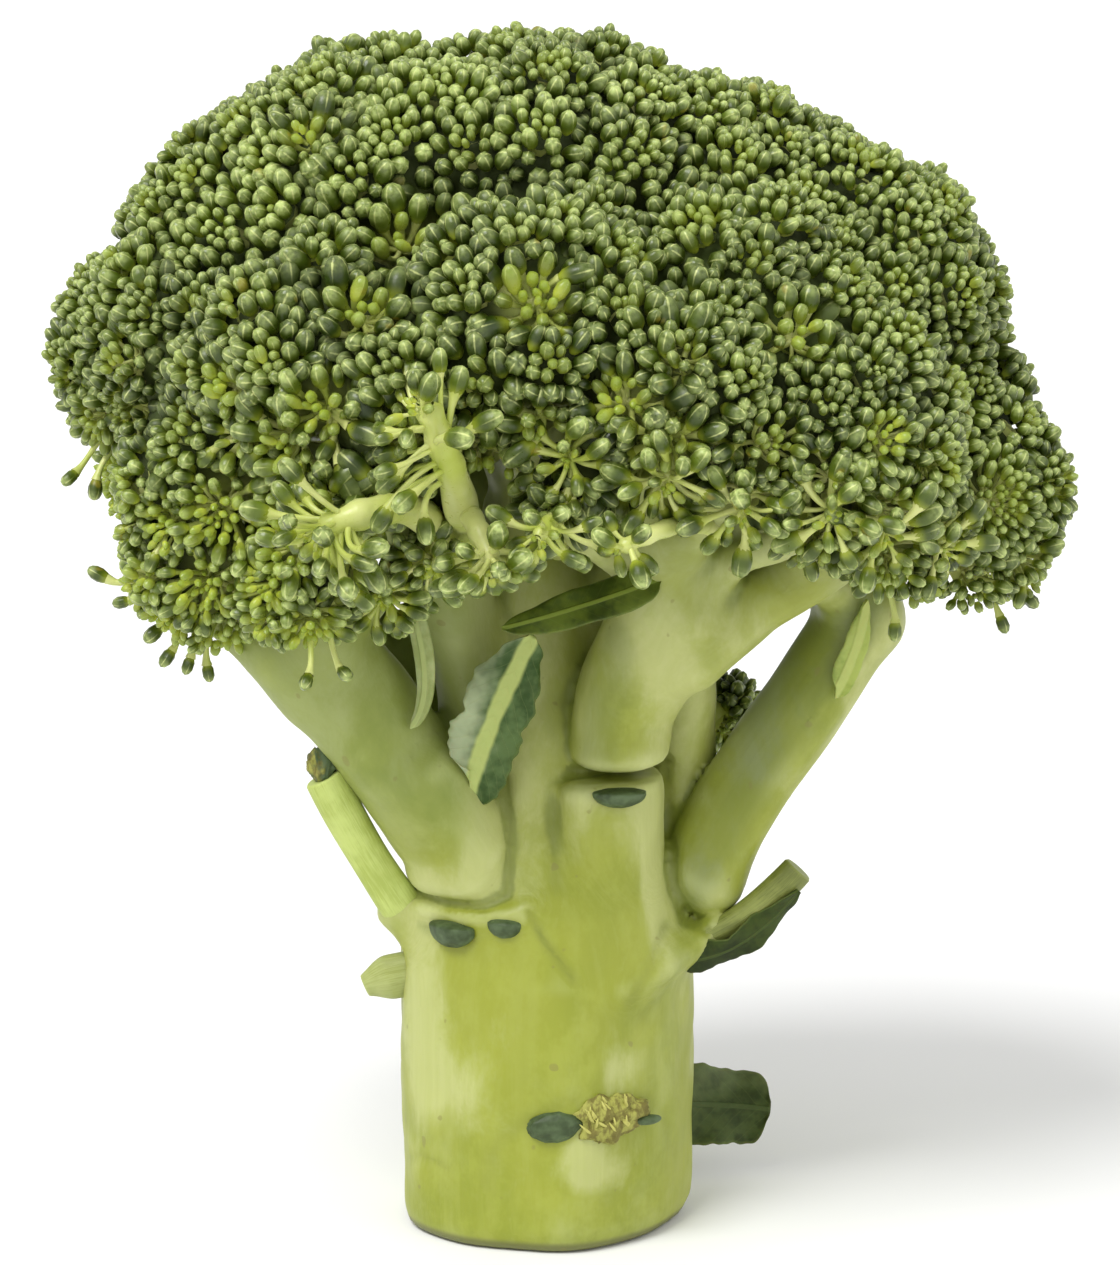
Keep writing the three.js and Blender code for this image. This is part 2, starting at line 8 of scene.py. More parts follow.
import bmesh
import bpy
import numpy as np
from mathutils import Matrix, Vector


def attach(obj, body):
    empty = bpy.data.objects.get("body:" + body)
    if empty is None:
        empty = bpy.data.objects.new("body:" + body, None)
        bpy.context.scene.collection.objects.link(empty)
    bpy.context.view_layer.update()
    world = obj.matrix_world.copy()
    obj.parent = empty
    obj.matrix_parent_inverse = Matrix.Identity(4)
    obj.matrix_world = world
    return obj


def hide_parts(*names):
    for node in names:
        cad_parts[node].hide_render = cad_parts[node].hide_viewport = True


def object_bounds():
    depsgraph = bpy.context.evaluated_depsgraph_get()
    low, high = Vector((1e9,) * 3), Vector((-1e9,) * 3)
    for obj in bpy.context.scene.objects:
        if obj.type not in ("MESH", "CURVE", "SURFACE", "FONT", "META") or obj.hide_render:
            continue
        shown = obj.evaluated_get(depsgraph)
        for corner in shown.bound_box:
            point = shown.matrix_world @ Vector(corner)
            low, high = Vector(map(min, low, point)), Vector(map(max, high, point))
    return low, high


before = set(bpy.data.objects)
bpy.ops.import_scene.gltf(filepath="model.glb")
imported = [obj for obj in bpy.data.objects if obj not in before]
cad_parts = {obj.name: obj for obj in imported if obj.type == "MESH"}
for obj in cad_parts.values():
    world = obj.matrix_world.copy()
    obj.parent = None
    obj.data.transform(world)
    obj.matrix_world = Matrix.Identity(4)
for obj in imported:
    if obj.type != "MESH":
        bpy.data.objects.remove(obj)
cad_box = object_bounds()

MM = 0.001
GOLDEN_ANGLE = math.pi * (3 - math.sqrt(5))
rng = np.random.default_rng(20)

# ---- The head's own dimensions, in millimetres -------------------------------------------------

CROWN_FOCUS = np.array([0.0, 0.0, 92.0])  # the florets face away from this point
FLORET_SEAT = 0.62  # from a floret's middle to its twig's end, as a share of its radius
TWIG_SHARE = 0.22  # the twig's radius, as a share of the floret's

# Height, middle x and y, radius.
TRUNK = [
    (0, -0.8, 0, 22.4),
    (3.5, -0.4, 0, 23.5),
    (24, -0.2, 0, 24.1),
    (44, 0, 0, 23.9),
    (55, 0, 0.2, 22.4),
    (62, -0.2, 0.8, 19.8),
    (70, -0.5, 1.5, 17.3),
    (88, -1.5, 2, 13),
    (118, -2, -1, 7),
]

# Root, fork, radius at the root and at the fork, how steeply it sets off.
BRANCHES = {
    "middle": ((-2, -1, 104), (-2, -3, 127), (8.5, 7), 0.35),
    "left": ((-14.5, -10, 65), (-36.6, -15.5, 98), (8.8, 9), 0.0),
    "left_back": ((-15, 9, 64), (-43, 8, 108), (8, 7), 0.35),
    "front_left": ((-10, -6, 82), (-19, -15, 114), (7, 6.4), 0.35),
    "front_right": ((12, -12.5, 85.5), (20.5, -18, 104), (8, 9.6), 0.2),
    "front_right_base": ((8.8, -8, 50), (9.4, -10.5, 70), (10.8, 9.6), 0.35),
    "right": ((25, -4, 58.5), (50.8, -4, 100), (7.2, 6.6), 0.06),
    "right_upper": ((5, 2, 92), (25, 0, 118), (6.6, 6), 0.35),
    "back": ((-3, 12, 80), (-4, 27, 106), (8.6, 7), 0.35),
    "back_right": ((21.5, 9.5, 52.5), (52.5, 15.5, 95.5), (6.6, 5.8), 0.08),
    "back_low": ((13, 14, 56), (24, 26, 68), (4.2, 3.6), 0.35),
}

# Middle x, y and z, radius, and the branch that carries it.
FLORETS = {
    "top": (0, -1, 164, 32, "middle"),
    "top_left": (-27, 0, 162, 31.5, "middle"),
    "top_right": (27, 3, 158.5, 29.5, "middle"),
    "top_back": (0, 29, 149, 28, "middle"),
    "front_middle": (-2, -32, 147, 25.5, "middle"),
    "front_left": (-34, -27, 142, 24, "front_left"),
    "front_left_low": (-20, -39, 138, 18, "front_left"),
    "inner_left": (-20, -27, 118, 10, "front_left"),
    "front_right_high": (28, -23, 148, 26, "right_upper"),
    "front_right": (19, -41, 140, 20.5, "front_right"),
    "right_front": (42, -29, 133, 24.5, "front_right"),
    "rim_front": (30, -43, 128, 12, "front_right"),
    "right_high": (46.5, -1, 149.5, 28.5, "right_upper"),
    "right": (55, 4, 129, 25.5, "right"),
    "right_low": (65.5, -6, 118.5, 20, "right"),
    "right_front_low": (51, -26, 119, 17, "right"),
    "left_high": (-43.3, 6, 156.5, 27, "left_back"),
    "left": (-51, -9, 145, 23, "left_back"),
    "far_left": (-62, 2, 141.5, 20, "left_back"),
    "left_inner": (-50, -17, 126, 20, "left"),
    "left_low": (-52.5, -13, 111.5, 17.5, "left"),
    "front_low_left": (-36, -28, 111, 15.5, "left"),
    "back_left": (-35, 29, 143, 26, "back"),
    "back_right": (32, 30, 143, 27, "back"),
    "rim_back_left": (-57, 23, 121, 20, "left_back"),
    "rim_back_left_mid": (-35, 42, 117, 20, "back"),
    "rim_back": (-6, 49, 120, 21, "back"),
    "rim_back_right_mid": (24, 45, 119, 20, "back"),
    "rim_back_right": (50, 28, 118, 21, "back_right"),
    "back_low": (28, 34, 77, 11, "back_low"),
    "rim_middle": (5, -42, 127, 12, "front_right"),
    "rim_left": (-29, -42, 125, 12, "front_left"),
    "rim_right": (44, -39, 122, 11, "front_right"),
}
CENTRES = np.array([row[:3] for row in FLORETS.values()], float)
RADII = np.array([row[3] for row in FLORETS.values()], float)
INDEX = {name: i for i, name in enumerate(FLORETS)}
LOW, HIGH = (np.array(corner) / MM for corner in cad_box)


# ---- Small mathematics --------------------------------------------------------------------------


def unit(v):
    v = np.asarray(v, float)
    return v / np.maximum(np.linalg.norm(v, axis=-1, keepdims=True), 1e-9)


def mix(a, b, t):
    return a + (b - a) * t


def smooth(t, low, high):
    s = np.clip((t - low) / (high - low), 0, 1)
    return s * s * (3 - 2 * s)


def kept_in(points, margin):
    """The points, moved as little as they must be to lie inside the head's own box by margin."""
    return np.clip(points, LOW + margin, HIGH - margin)


def axes_of(way):
    """Two directions square to each way and to each other."""
    way = unit(way)
    steep = np.abs(way[..., 2:3]) > 0.9
    helper = np.where(steep, np.array([1.0, 0, 0]), np.array([0, 0, 1.0]))
    side = unit(np.cross(helper, way))
    return side, np.cross(way, side)


def bezier(a, b, c, d, t):
    t = np.asarray(t, float)[:, None]
    s = 1 - t
    a, b, c, d = (np.asarray(p, float) for p in (a, b, c, d))
    return s**3 * a + 3 * s * s * t * b + 3 * s * t * t * c + t**3 * d


def arc(a, b, c, t):
    """Quadratic curves by three control points each, many at once: (curves, points, 3)."""
    t = np.asarray(t, float)[None, :, None]
    a, b, c = (np.asarray(p, float)[:, None, :] for p in (a, b, c))
    return (1 - t) ** 2 * a + 2 * (1 - t) * t * b + t * t * c


def bow(points, t):
    """One quadratic curve through its three control points."""
    return arc(*(np.array([p], float) for p in points), t)[0]


def globe(rows, columns, axis, side, other):
    """Directions all round, in rings from the axis to its far side."""
    polar = np.linspace(0.02, math.pi - 0.02, rows)[:, None, None]
    turn = (2 * math.pi * np.arange(columns) / columns)[:, None]
    ways = np.cos(polar) * axis + np.sin(polar) * (np.cos(turn) * side + np.sin(turn) * other)
    return ways.reshape(-1, 3)


def turned(points, degrees):
    """The points turned about Z."""
    sin, cos = math.sin(math.radians(degrees)), math.cos(math.radians(degrees))
    x, y, z = np.asarray(points).T
    return np.stack([x * cos - y * sin, x * sin + y * cos, z], -1)


def waver(points, scale, seed):
    """A slow smooth unevenness, between about -1 and 1."""
    mixer = np.random.default_rng(seed)
    total = 0
    for _ in range(5):
        way = unit(mixer.normal(0, 1, 3)) / (scale * mixer.uniform(0.7, 1.5))
        total = total + np.sin(points @ way * 2 * math.pi + mixer.uniform(0, 6.28))
    return total / 2.6


# ---- Meshes -------------------------------------------------------------------------------------


def linked(name, data):
    """An object of the scene that holds the data."""
    thing = bpy.data.objects.new(name, data)
    bpy.context.scene.collection.objects.link(thing)
    return thing


class Skin:
    """Triangles gathered for one piece. Each point carries two triples that its material reads.

    place: how far along its bud or stem, how far around it in quarter turns, a tint, random but
    with painted light and shade mixed in on the crown
    sort: youth from 1 at a rosette's middle, 1 on stems, how deep it lies, which the buds' finish
    darkens as painted shade
    """

    def __init__(self):
        self.points, self.triangles, self.place, self.sort = [], [], [], []
        self.count = 0

    def add(self, points, triangles, place, sort):
        self.points.append(points)
        self.triangles.append(triangles + self.count)
        self.place.append(place)
        self.sort.append(sort)
        self.count += len(points)

    def build(self, name, material):
        points = np.concatenate(self.points) * MM
        triangles = np.concatenate(self.triangles)
        mesh = bpy.data.meshes.new(name)
        mesh.vertices.add(len(points))
        mesh.vertices.foreach_set("co", points.astype(np.float32).ravel())
        mesh.loops.add(triangles.size)
        mesh.loops.foreach_set("vertex_index", triangles.astype(np.int32).ravel())
        mesh.polygons.add(len(triangles))
        starts = np.arange(0, triangles.size, 3, dtype=np.int32)
        mesh.polygons.foreach_set("loop_start", starts)
        mesh.update(calc_edges=True)
        mesh.polygons.foreach_set("use_smooth", np.ones(len(triangles), bool))
        for label, rows in (("place", self.place), ("sort", self.sort)):
            layer = mesh.attributes.new(label, "FLOAT_VECTOR", "POINT")
            layer.data.foreach_set("vector", np.concatenate(rows).astype(np.float32).ravel())
        mesh.materials.append(material)
        mesh.validate()
        return linked(name, mesh)


def triples(shape, first=0.0, second=0.0, third=0.0):
    """Three numbers for each of shape's points, one row a point."""
    rows = np.empty((*shape, 3))
    rows[..., 0], rows[..., 1], rows[..., 2] = first, second, third
    return rows.reshape(-1, 3)


def strips(rings, columns, closed):
    """Triangles between rings of points that are numbered ring after ring."""
    ring, column = np.meshgrid(np.arange(rings - 1), np.arange(columns if closed else columns - 1))
    ring, column = ring.ravel(), column.ravel()
    after = (column + 1) % columns
    a, b = ring * columns + column, ring * columns + after
    return np.concatenate(
        [np.stack([a, b, a + columns], 1), np.stack([b, b + columns, a + columns], 1)]
    )


def repeated(triangles, size, count):
    return (triangles[None] + (np.arange(count) * size)[:, None, None]).reshape(-1, 3)


def outward(piece):
    """Turns the faces of a closed piece outward."""
    mesh = bmesh.new()
    mesh.from_mesh(piece.data)
    bmesh.ops.recalc_face_normals(mesh, faces=mesh.faces)
    mesh.to_mesh(piece.data)
    mesh.free()


def dress(skin, name, material, slot, *nodes, closed=False):
    """Makes the piece that stands for the nodes and rides with the head."""
    piece = skin.build(name, material)
    if closed:
        outward(piece)
    if nodes:
        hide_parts(*nodes)
    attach(piece, "root")
    return piece


# A bud's outline from its stem to its tip: share of its length, share of its radius.
BUD_OUTLINES = {
    "large": (8, [(0, 0.34), (0.16, 0.74), (0.42, 0.98), (0.7, 0.96), (0.88, 0.72), (0.97, 0.4)]),
    "middling": (8, [(0, 0.45), (0.3, 0.92), (0.68, 0.97), (0.91, 0.6)]),
    "tiny": (6, [(0.1, 0.66), (0.5, 1.0), (0.84, 0.66)]),
}
GROOVE = 0.13  # how deep the four grooves between the sepals are
# Buds further back than the one and lower than the other are drawn with fewer sides.
BACK_FROM, TOP_FROM = 16, 165


def bud_shape(kind):
    """Points, triangles and (along, around) of one bud of radius 1 and length 1."""
    sides, outline = BUD_OUTLINES[kind]
    columns = sides + 1
    turn = np.arange(columns) / sides
    points, marks = [], []
    for along, radius in outline:
        four = 0.5 + 0.5 * np.cos(8 * math.pi * turn)
        lobed = GROOVE * four * along if sides == 8 else 0 * turn
        r = radius * (1 - lobed)
        angle = 2 * math.pi * turn
        points.append(np.stack([r * np.cos(angle), r * np.sin(angle), 0 * r + along], 1))
        marks.append(np.stack([0 * turn + along, 4 * turn], 1))
    triangles = strips(len(outline), columns, closed=False)
    last = (len(outline) - 1) * columns
    tips = len(outline) * columns + np.arange(sides)
    points.append(np.tile([0.0, 0, 1], (sides, 1)))
    marks.append(np.stack([np.ones(sides), 4 * (np.arange(sides) + 0.5) / sides], 1))
    fan = np.stack([last + np.arange(sides), last + np.arange(sides) + 1, tips], 1)
    return np.concatenate(points), np.concatenate([triangles, fan]), np.concatenate(marks)


BUD_SHAPES = {kind: bud_shape(kind) for kind in BUD_OUTLINES}


def add_buds(skin, foot, way, width, length, tint, youth, shade_depth):
    """Buds standing on their feet, each drawn with as many sides as its size deserves."""
    behind = (foot[:, 1] > BACK_FROM) & (foot[:, 2] < TOP_FROM)
    spin = rng.uniform(0, 2 * math.pi, len(foot))
    side, other = axes_of(way)
    cos, sin = np.cos(spin)[:, None], np.sin(spin)[:, None]
    side, other = side * cos + other * sin, other * cos - side * sin
    middling = width > np.where(behind, 2.1, 1.45)
    kinds = np.where((width > 2.4) & ~behind, "large", np.where(middling, "middling", "tiny"))
    for kind, (shape, triangles, marks) in BUD_SHAPES.items():
        chosen = np.flatnonzero(kinds == kind)
        if not len(chosen):
            continue
        half = width[chosen, None, None] / 2
        points = (
            foot[chosen, None]
            + side[chosen, None] * shape[None, :, 0:1] * half
            + other[chosen, None] * shape[None, :, 1:2] * half
            + way[chosen, None] * shape[None, :, 2:3] * length[chosen, None, None]
        )
        n, m = len(chosen), len(shape)
        place = triples((n, m), *marks.T[:, None], tint[chosen, None])
        sort = triples((n, m), youth[chosen, None], 0, shade_depth[chosen, None])
        skin.add(points.reshape(-1, 3), repeated(triangles, m, n), place, sort)


def add_stems(skin, paths, radii, sides, tint=0.5, shade_depth=0.3):
    """Round stems along many paths at once: paths (stems, points, 3), radii (stems, points)."""
    count, steps = paths.shape[:2]
    tangent = unit(np.gradient(paths, axis=1))
    helper = unit(np.cross(paths[:, -1] - paths[:, 0], np.array([0.3, 0.5, 0.8])))
    side = unit(np.cross(np.repeat(helper[:, None], steps, 1), tangent))
    other = np.cross(tangent, side)
    angle = 2 * math.pi * np.arange(sides) / sides
    ring = (
        side[:, :, None] * np.cos(angle)[None, None, :, None]
        + other[:, :, None] * np.sin(angle)[None, None, :, None]
    )
    points = paths[:, :, None] + ring * radii[:, :, None, None]
    shape = (count, steps, sides)
    along, around = np.linspace(0, 1, steps)[None, :, None], 4 * np.arange(sides) / sides
    triangles = repeated(strips(steps, sides, closed=True), steps * sides, count)
    place = triples(shape, along, around, tint)
    skin.add(points.reshape(-1, 3), triangles, place, triples(shape, 0, 1, shade_depth))


# ---- The crown ----------------------------------------------------------------------------------

CROWN_BLEND = 2.0  # how softly one floret runs into the next
BUD_BED = 2.7  # how deep the buds' middles lie under a floret's outline
ROSETTE_PITCH = 10.5
ROSETTE_SHARE = 0.62  # a rosette's radius, as a share of the room it takes
CROWDING = 0.37  # how near two buds may stand, as a share of their widths together
# A floret's inside is coloured dark as painted shade under its buds.
CORE_BED = BUD_BED + 3.6  # how deep a floret's dark inside lies
# The cosine with each floret's axis below which no rosette grows.
UNDER = np.array([{"left_low": -0.85, "rim_left": -0.6}.get(name, -0.42) for name in FLORETS])


def crown_depth(points):
    """Distance outside the florets' common outline, and to each floret's own, for many points."""
    own = np.linalg.norm(points[:, None] - CENTRES[None], axis=2) - RADII[None]
    nearest = own.min(1)
    blend = np.exp(-(own - nearest[:, None]) / CROWN_BLEND).sum(1)
    return nearest - CROWN_BLEND * np.log(blend), own


def crown_normal(points):
    """The way the crown faces at each point, from its depth a step to either side."""
    STEP = 0.5
    gradient = np.empty_like(points)
    for k in range(3):
        shift = np.zeros(3)
        shift[k] = STEP
        gradient[:, k] = crown_depth(points + shift)[0] - crown_depth(points - shift)[0]
    return unit(gradient)


def on_crown(centre, ways, inset):
    """The points where rays from a floret's middle meet the crown's outline sunk by inset."""
    reach = np.full(len(ways), 20.0)
    for _ in range(14):
        reach -= crown_depth(centre + ways * reach[:, None])[0] + inset
    return centre + ways * reach[:, None]


def pulled_to_crown(points, inset):
    for _ in range(3):
        points = points - crown_normal(points) * (crown_depth(points)[0] + inset)[:, None]
    return points


def spiral(count, axis):
    """Directions spread evenly over a sphere, from the axis round to its far side."""
    k = np.arange(count)
    height = 1 - 2 * (k + 0.5) / count
    turn = k * GOLDEN_ANGLE
    across = np.sqrt(1 - height**2)
    side, other = axes_of(np.asarray(axis)[None])
    return (
        (across * np.cos(turn))[:, None] * side
        + (across * np.sin(turn))[:, None] * other
        + height[:, None] * unit(axis)[None]
    )


def budding_skin(pitch, slack):
    """Points on the crown where buds may grow, about pitch apart: places, facings, florets."""
    places, facings, florets = [], [], []
    for i in range(len(FLORETS)):
        axis = unit(CENTRES[i] - CROWN_FOCUS)
        count = int(4 * math.pi * RADII[i] ** 2 / (0.866 * pitch**2))
        ways = unit(spiral(count, axis) + rng.normal(0, 0.3 * pitch / RADII[i], (count, 3)))
        ways = ways[ways @ axis > UNDER[i]]
        spots = on_crown(CENTRES[i], ways, BUD_BED)
        own = crown_depth(spots)[1]
        facing = crown_normal(spots)
        grows = (own[:, i] < own.min(1) + slack) & (facing[:, 2] > -0.85)
        places.append(spots[grows])
        facings.append(facing[grows])
        florets.append(np.full(grows.sum(), i))
    return np.concatenate(places), np.concatenate(facings), np.concatenate(florets)


# Open rosettes that catch the eye on the front of the crown: x, z, radius, how open.
STARS = [
    (-1, 157, 7.6, 0.95),
    (-34, 139, 6.2, 1.0),
    (-50, 120, 6.4, 1.0),
    (-60, 117, 5.2, 0.8),
    (10, 141, 6.4, 0.85),
    (-22, 163, 5.2, 0.6),
    (-37, 178, 4.8, 0.5),
    (-50, 141, 5.8, 0.8),
    (-27, 154, 5.4, 0.5),
    (51, 135, 5.4, 0.6),
    (-36, 102, 5.6, 0.9),
    (-53, 108, 6.0, 0.9),
    (38, 150, 5.0, 0.4),
]


# Open fans of buds in the crown's lower rim: x, z, reach, how many buds. No other buds grow there.
RIM_FANS = [
    (3, 131, 6.4, 18),
    (18, 127, 7, 22),
    (29, 122, 7.2, 22),
    (43, 122, 7.2, 22),
    (52, 118, 6.8, 18),
    (62, 114.5, 6, 16),
]
FAN_CLEARING = 5.4  # how far from a fan's middle the first other buds stand


def on_front(places):
    """Points among the buds on the crown's front, from their x and z."""
    spots = np.array([(x, -95, z) for x, z, _, _ in places], float)
    for _ in range(40):
        spots[:, 1] += np.clip(crown_depth(spots)[0] + BUD_BED, -2, 8)
    return spots


FAN_SPOTS = on_front(RIM_FANS)


def star_spots():
    """Where the open rosettes stand on the crown's front, and the way they face."""
    spots = on_front(STARS)
    floret = crown_depth(spots)[1].argmin(1)
    return spots, unit(crown_normal(spots) + [0, -0.5, 0.05]), floret


class Room:
    """Keeps points by the cell they lie in, to ask quickly what lies near a place."""

    def __init__(self, cell):
        self.cell, self.held = cell, {}

    def key(self, spot):
        return tuple(int(v // self.cell) for v in spot)

    def put(self, spot, number):
        self.held.setdefault(self.key(spot), []).append(number)

    def near(self, spot):
        i, j, k = self.key(spot)
        return [
            number
            for x in (i - 1, i, i + 1)
            for y in (j - 1, j, j + 1)
            for z in (k - 1, k, k + 1)
            for number in self.held.get((x, y, z), ())
        ]


class Rosettes:
    """Clusters of buds: where each stands and faces, its size, and how open it is."""

    def __init__(self):
        spots, facing, floret = (
            np.concatenate(both) for both in zip(star_spots(), budding_skin(pitch=2.2, slack=0.8))
        )
        first = len(STARS)
        order = np.concatenate([np.arange(first), first + rng.permutation(len(spots) - first)])
        uneven = 1 + 0.22 * waver(spots, 30, 8)
        size = ROSETTE_PITCH * uneven * rng.uniform(0.78, 1.22, len(spots))
        size = np.minimum(size, RADII[floret] * 0.8)
        size[:first] = [row[2] / ROSETTE_SHARE for row in STARS]
        room, kept = Room(cell=15.0), []
        for k in order:
            near = room.near(spots[k])
            gaps = np.linalg.norm(spots[near] - spots[k], axis=1)
            if len(near) and (gaps < 0.5 * (size[near] + size[k])).any():
                continue
            room.put(spots[k], k)
            kept.append(k)
        self.place, self.facing, self.floret = spots[kept], facing[kept], floret[kept]
        self.radius = size[kept] * ROSETTE_SHARE
        count = len(kept)
        droop = smooth(-self.facing[:, 2], -0.2, 0.4) * smooth(self.place[:, 2], 175, 135)
        low = smooth(self.place[:, 2], 134, 112)
        chance = rng.uniform(0.35, 1.3, count)
        loose = (rng.uniform(0, 1, count) > 0.93) * 0.45 * smooth(self.place[:, 2], 185, 150)
        self.opened = np.clip(np.maximum(droop, 0.8 * low) * chance + loose, 0, 1)
        left = smooth(self.place[:, 0], -14, -36) * low
        self.youth = rng.uniform(0.1, 0.5, count) + 0.3 * self.opened + 0.3 * left
        for n, k in enumerate(kept):
            if k < first:
                self.opened[n], self.youth[n] = STARS[k][3], 1.0
        self.bend = self.radius * mix(rng.uniform(1.0, 1.6, count), 1.0, self.opened)
        self.rise = rng.normal(0, 0.5, count) + 0.35
        self.tint = rng.uniform(0, 1, count)

    def nearest(self, points):
        """The rosette each point belongs to, and how far out of it as a share of its radius."""
        AT_ONCE = 4000
        owner, share = np.empty(len(points), int), np.empty(len(points))
        for start in range(0, len(points), AT_ONCE):
            cut = slice(start, start + AT_ONCE)
            gaps = np.linalg.norm(points[cut, None] - self.place[None], axis=2) / self.radius
            owner[cut] = gaps.argmin(1)
            share[cut] = gaps.min(1)
        return owner, share


def bud_width(rosettes, owner, share):
    """A bud's width by its distance out of its rosette, largest high on the front's left."""
    x, _, z = rosettes.place[owner].T
    large = smooth(np.hypot((x + 12) * 0.9, (z - 150) * 1.15), 62, 22)
    fine = smooth(x, -14, -36) * smooth(z, 130, 116)
    outer = mix(2.55, 3.6, large) * mix(1, 1.08, rosettes.opened[owner]) * mix(1, 0.84, fine)
    inner = mix(1.3, 1.7, large) * mix(1, 0.66, rosettes.opened[owner])
    return mix(inner, outer, np.clip(share, 0, 1) ** 0.9)


def seeded_buds(rosettes):
    """The buds of each rosette on a spiral, young ones in its middle."""
    points, owners = [], []
    for k in range(len(rosettes.place)):
        side, other = (v[0] for v in axes_of(rosettes.facing[k][None]))
        radius, opened = rosettes.radius[k], rosettes.opened[k]
        start, out, n = rng.uniform(0, 6.28), 0.2, 0
        while out < radius * 1.45:
            width = bud_width(rosettes, np.array([k]), np.array([out / radius]))[0]
            turn = start + n * GOLDEN_ANGLE + rng.normal(0, 0.16)
            far = out + rng.normal(0, 0.1) * width
            points.append(
                rosettes.place[k] + far * (side * math.cos(turn) + other * math.sin(turn))
            )
            owners.append(k)
            out = math.sqrt(out * out + (0.235 + 0.11 * opened) * width * width)
            n += 1
    return np.array(points), np.array(owners)


def grown_buds(rosettes):
    """Where buds stand, each one's rosette and how far out it is, its width, if it is a filler."""
    points, owners = seeded_buds(rosettes)
    points = pulled_to_crown(points, BUD_BED)
    owner, share = rosettes.nearest(points)
    kept = (owner == owners) & grows_here(points)
    points, owner, share = points[kept], owner[kept], share[kept]
    width = bud_width(rosettes, owner, share) * rng.uniform(0.78, 1.2, len(points))
    fill, _, _ = budding_skin(pitch=1.25, slack=0.4)
    fill = fill[grows_here(fill)]
    fill_owner, fill_share = rosettes.nearest(fill)
    narrower = mix(1, 0.8, rosettes.opened[fill_owner])
    fill_width = bud_width(rosettes, fill_owner, fill_share) * narrower
    order = np.argsort(share, kind="stable")
    room, chosen = Room(cell=3.6), []
    spots = np.concatenate([points, fill])
    widths = np.concatenate([width, fill_width])
    for k in order:
        near = room.near(spots[k])
        gaps = np.linalg.norm(spots[near] - spots[k], axis=1)
        if len(near) and (gaps < CROWDING * (widths[near] + widths[k])).any():
            continue
        room.put(spots[k], k)
        chosen.append(k)
    for k in range(len(points), len(spots)):
        near = room.near(spots[k])
        fits = 3.2
        if len(near):
            gaps = np.linalg.norm(spots[near] - spots[k], axis=1)
            fits = ((gaps - CROWDING * widths[near]) / 0.4).min()
        if fits < 0.7 * widths[k]:
            continue
        widths[k] = min(fits, widths[k])
        room.put(spots[k], k)
        chosen.append(k)
    owner = np.concatenate([owner, fill_owner])[chosen]
    share = np.concatenate([share, fill_share])[chosen]
    return spots[chosen], owner, share, widths[chosen], np.array(chosen) >= len(points)


def grows_here(points):
    """Whether buds grow at each point: not on the crown's underside, nor where a fan opens."""
    clear = np.linalg.norm(points[:, None] - FAN_SPOTS, axis=2).min(1) > FAN_CLEARING
    own = crown_depth(points)[1]
    floret = own.argmin(1)
    axis = unit(CENTRES[floret] - CROWN_FOCUS)
    way = unit(points - CENTRES[floret])
    return clear & ((way * axis).sum(1) > UNDER[floret]) & (crown_normal(points)[:, 2] > -0.88)


def add_core(skin, i, rosettes):
    """The inside of a floret: a cap like a mushroom's, dark with painted shade under the buds and
    pale beneath.
    """
    centre, radius = CENTRES[i], RADII[i]
    axis = unit(centre - CROWN_FOCUS)
    ROWS, COLUMNS = 14, 24
    side, other = (v[0] for v in axes_of(axis[None]))
    ways = globe(ROWS, COLUMNS, axis, side, other)
    top = on_crown(centre, ways, CORE_BED)
    far = np.linalg.norm(top - centre, axis=1, keepdims=True)
    top = centre + ways * np.minimum(far, radius - BUD_BED - 2.2)
    owner, share = rosettes.nearest(top)
    open_here = rosettes.opened[owner] * smooth(share, 1.4, 0.7)
    top -= ways * (3.2 * open_here)[:, None]
    under = smooth(-(ways @ axis), -0.25, 0.45)
    low = centre + ways * (radius * 0.4)
    points = mix(top, low, under[:, None])
    place = triples([len(points)], third=0.3)
    stemmy = np.maximum(smooth(under, 0.1, 0.5), 0.6 * open_here)
    sort = triples([len(points)], 0, stemmy, mix(mix(1, 0.72, open_here), 0.5, under))
    skin.add(points, strips(ROWS, COLUMNS, closed=True)[:, ::-1], place, sort)


def add_rosette_stem(skin, rosettes, k):
    floret = rosettes.floret[k]
    centre, size = CENTRES[floret], RADII[floret]
    axis = unit(centre - CROWN_FOCUS)
    seat = centre - axis * size * FLORET_SEAT
    top = rosettes.place[k] - rosettes.facing[k] * (3.2 + 3.2 * rosettes.opened[k])
    bend = mix(seat, top, 0.45) + axis * size * 0.12
    path = bow([seat, bend, top], np.linspace(0, 1, 7))
    thick = mix(0.075 * size, 1.35, np.linspace(0, 1, 7)) * mix(1, 1.2, rosettes.opened[k])
    thick[-1] *= 1.7
    add_stems(skin, path[None], thick[None], sides=7, tint=rng.uniform(0.3, 0.7), shade_depth=0.5)


def add_pedicels(skin, rosettes, k, spots, ways, widths):
    """The little stems that show under the outer buds of an open rosette."""
    opened = rosettes.opened[k]
    root = rosettes.place[k] - rosettes.facing[k] * (3.2 + 4 * opened)
    roots = root + (spots - root) * 0.08
    control = mix(roots, spots, 0.6) - ways * (1.5 + opened) + (spots - rosettes.place[k]) * 0.1
    path = arc(roots, control, spots + ways * 0.4, np.linspace(0, 1, 5))
    radii = widths[:, None] * np.array([[0.18, 0.155, 0.15, 0.17, 0.27]])
    add_stems(skin, path, radii, sides=5, tint=0.6, shade_depth=0.2)


# Single buds that hang out of the crown on stems of their own.
STRAYS = [
    (-74.8, -5, 123.6),
    (-71.3, -6, 122.6),
    (-69.5, -10, 107.4),
    (-66, -11, 104),
    (-61, -12, 100),
    (-59, -14, 96.5),
    (-56, -15, 95.5),
    (-53.5, -14, 94.2),
    (76, -10, 104.8),
    (72, -11, 101.5),
    (-31, -36, 97.5),
    (-36, -38, 97),
    (54, -28, 103.5),
]


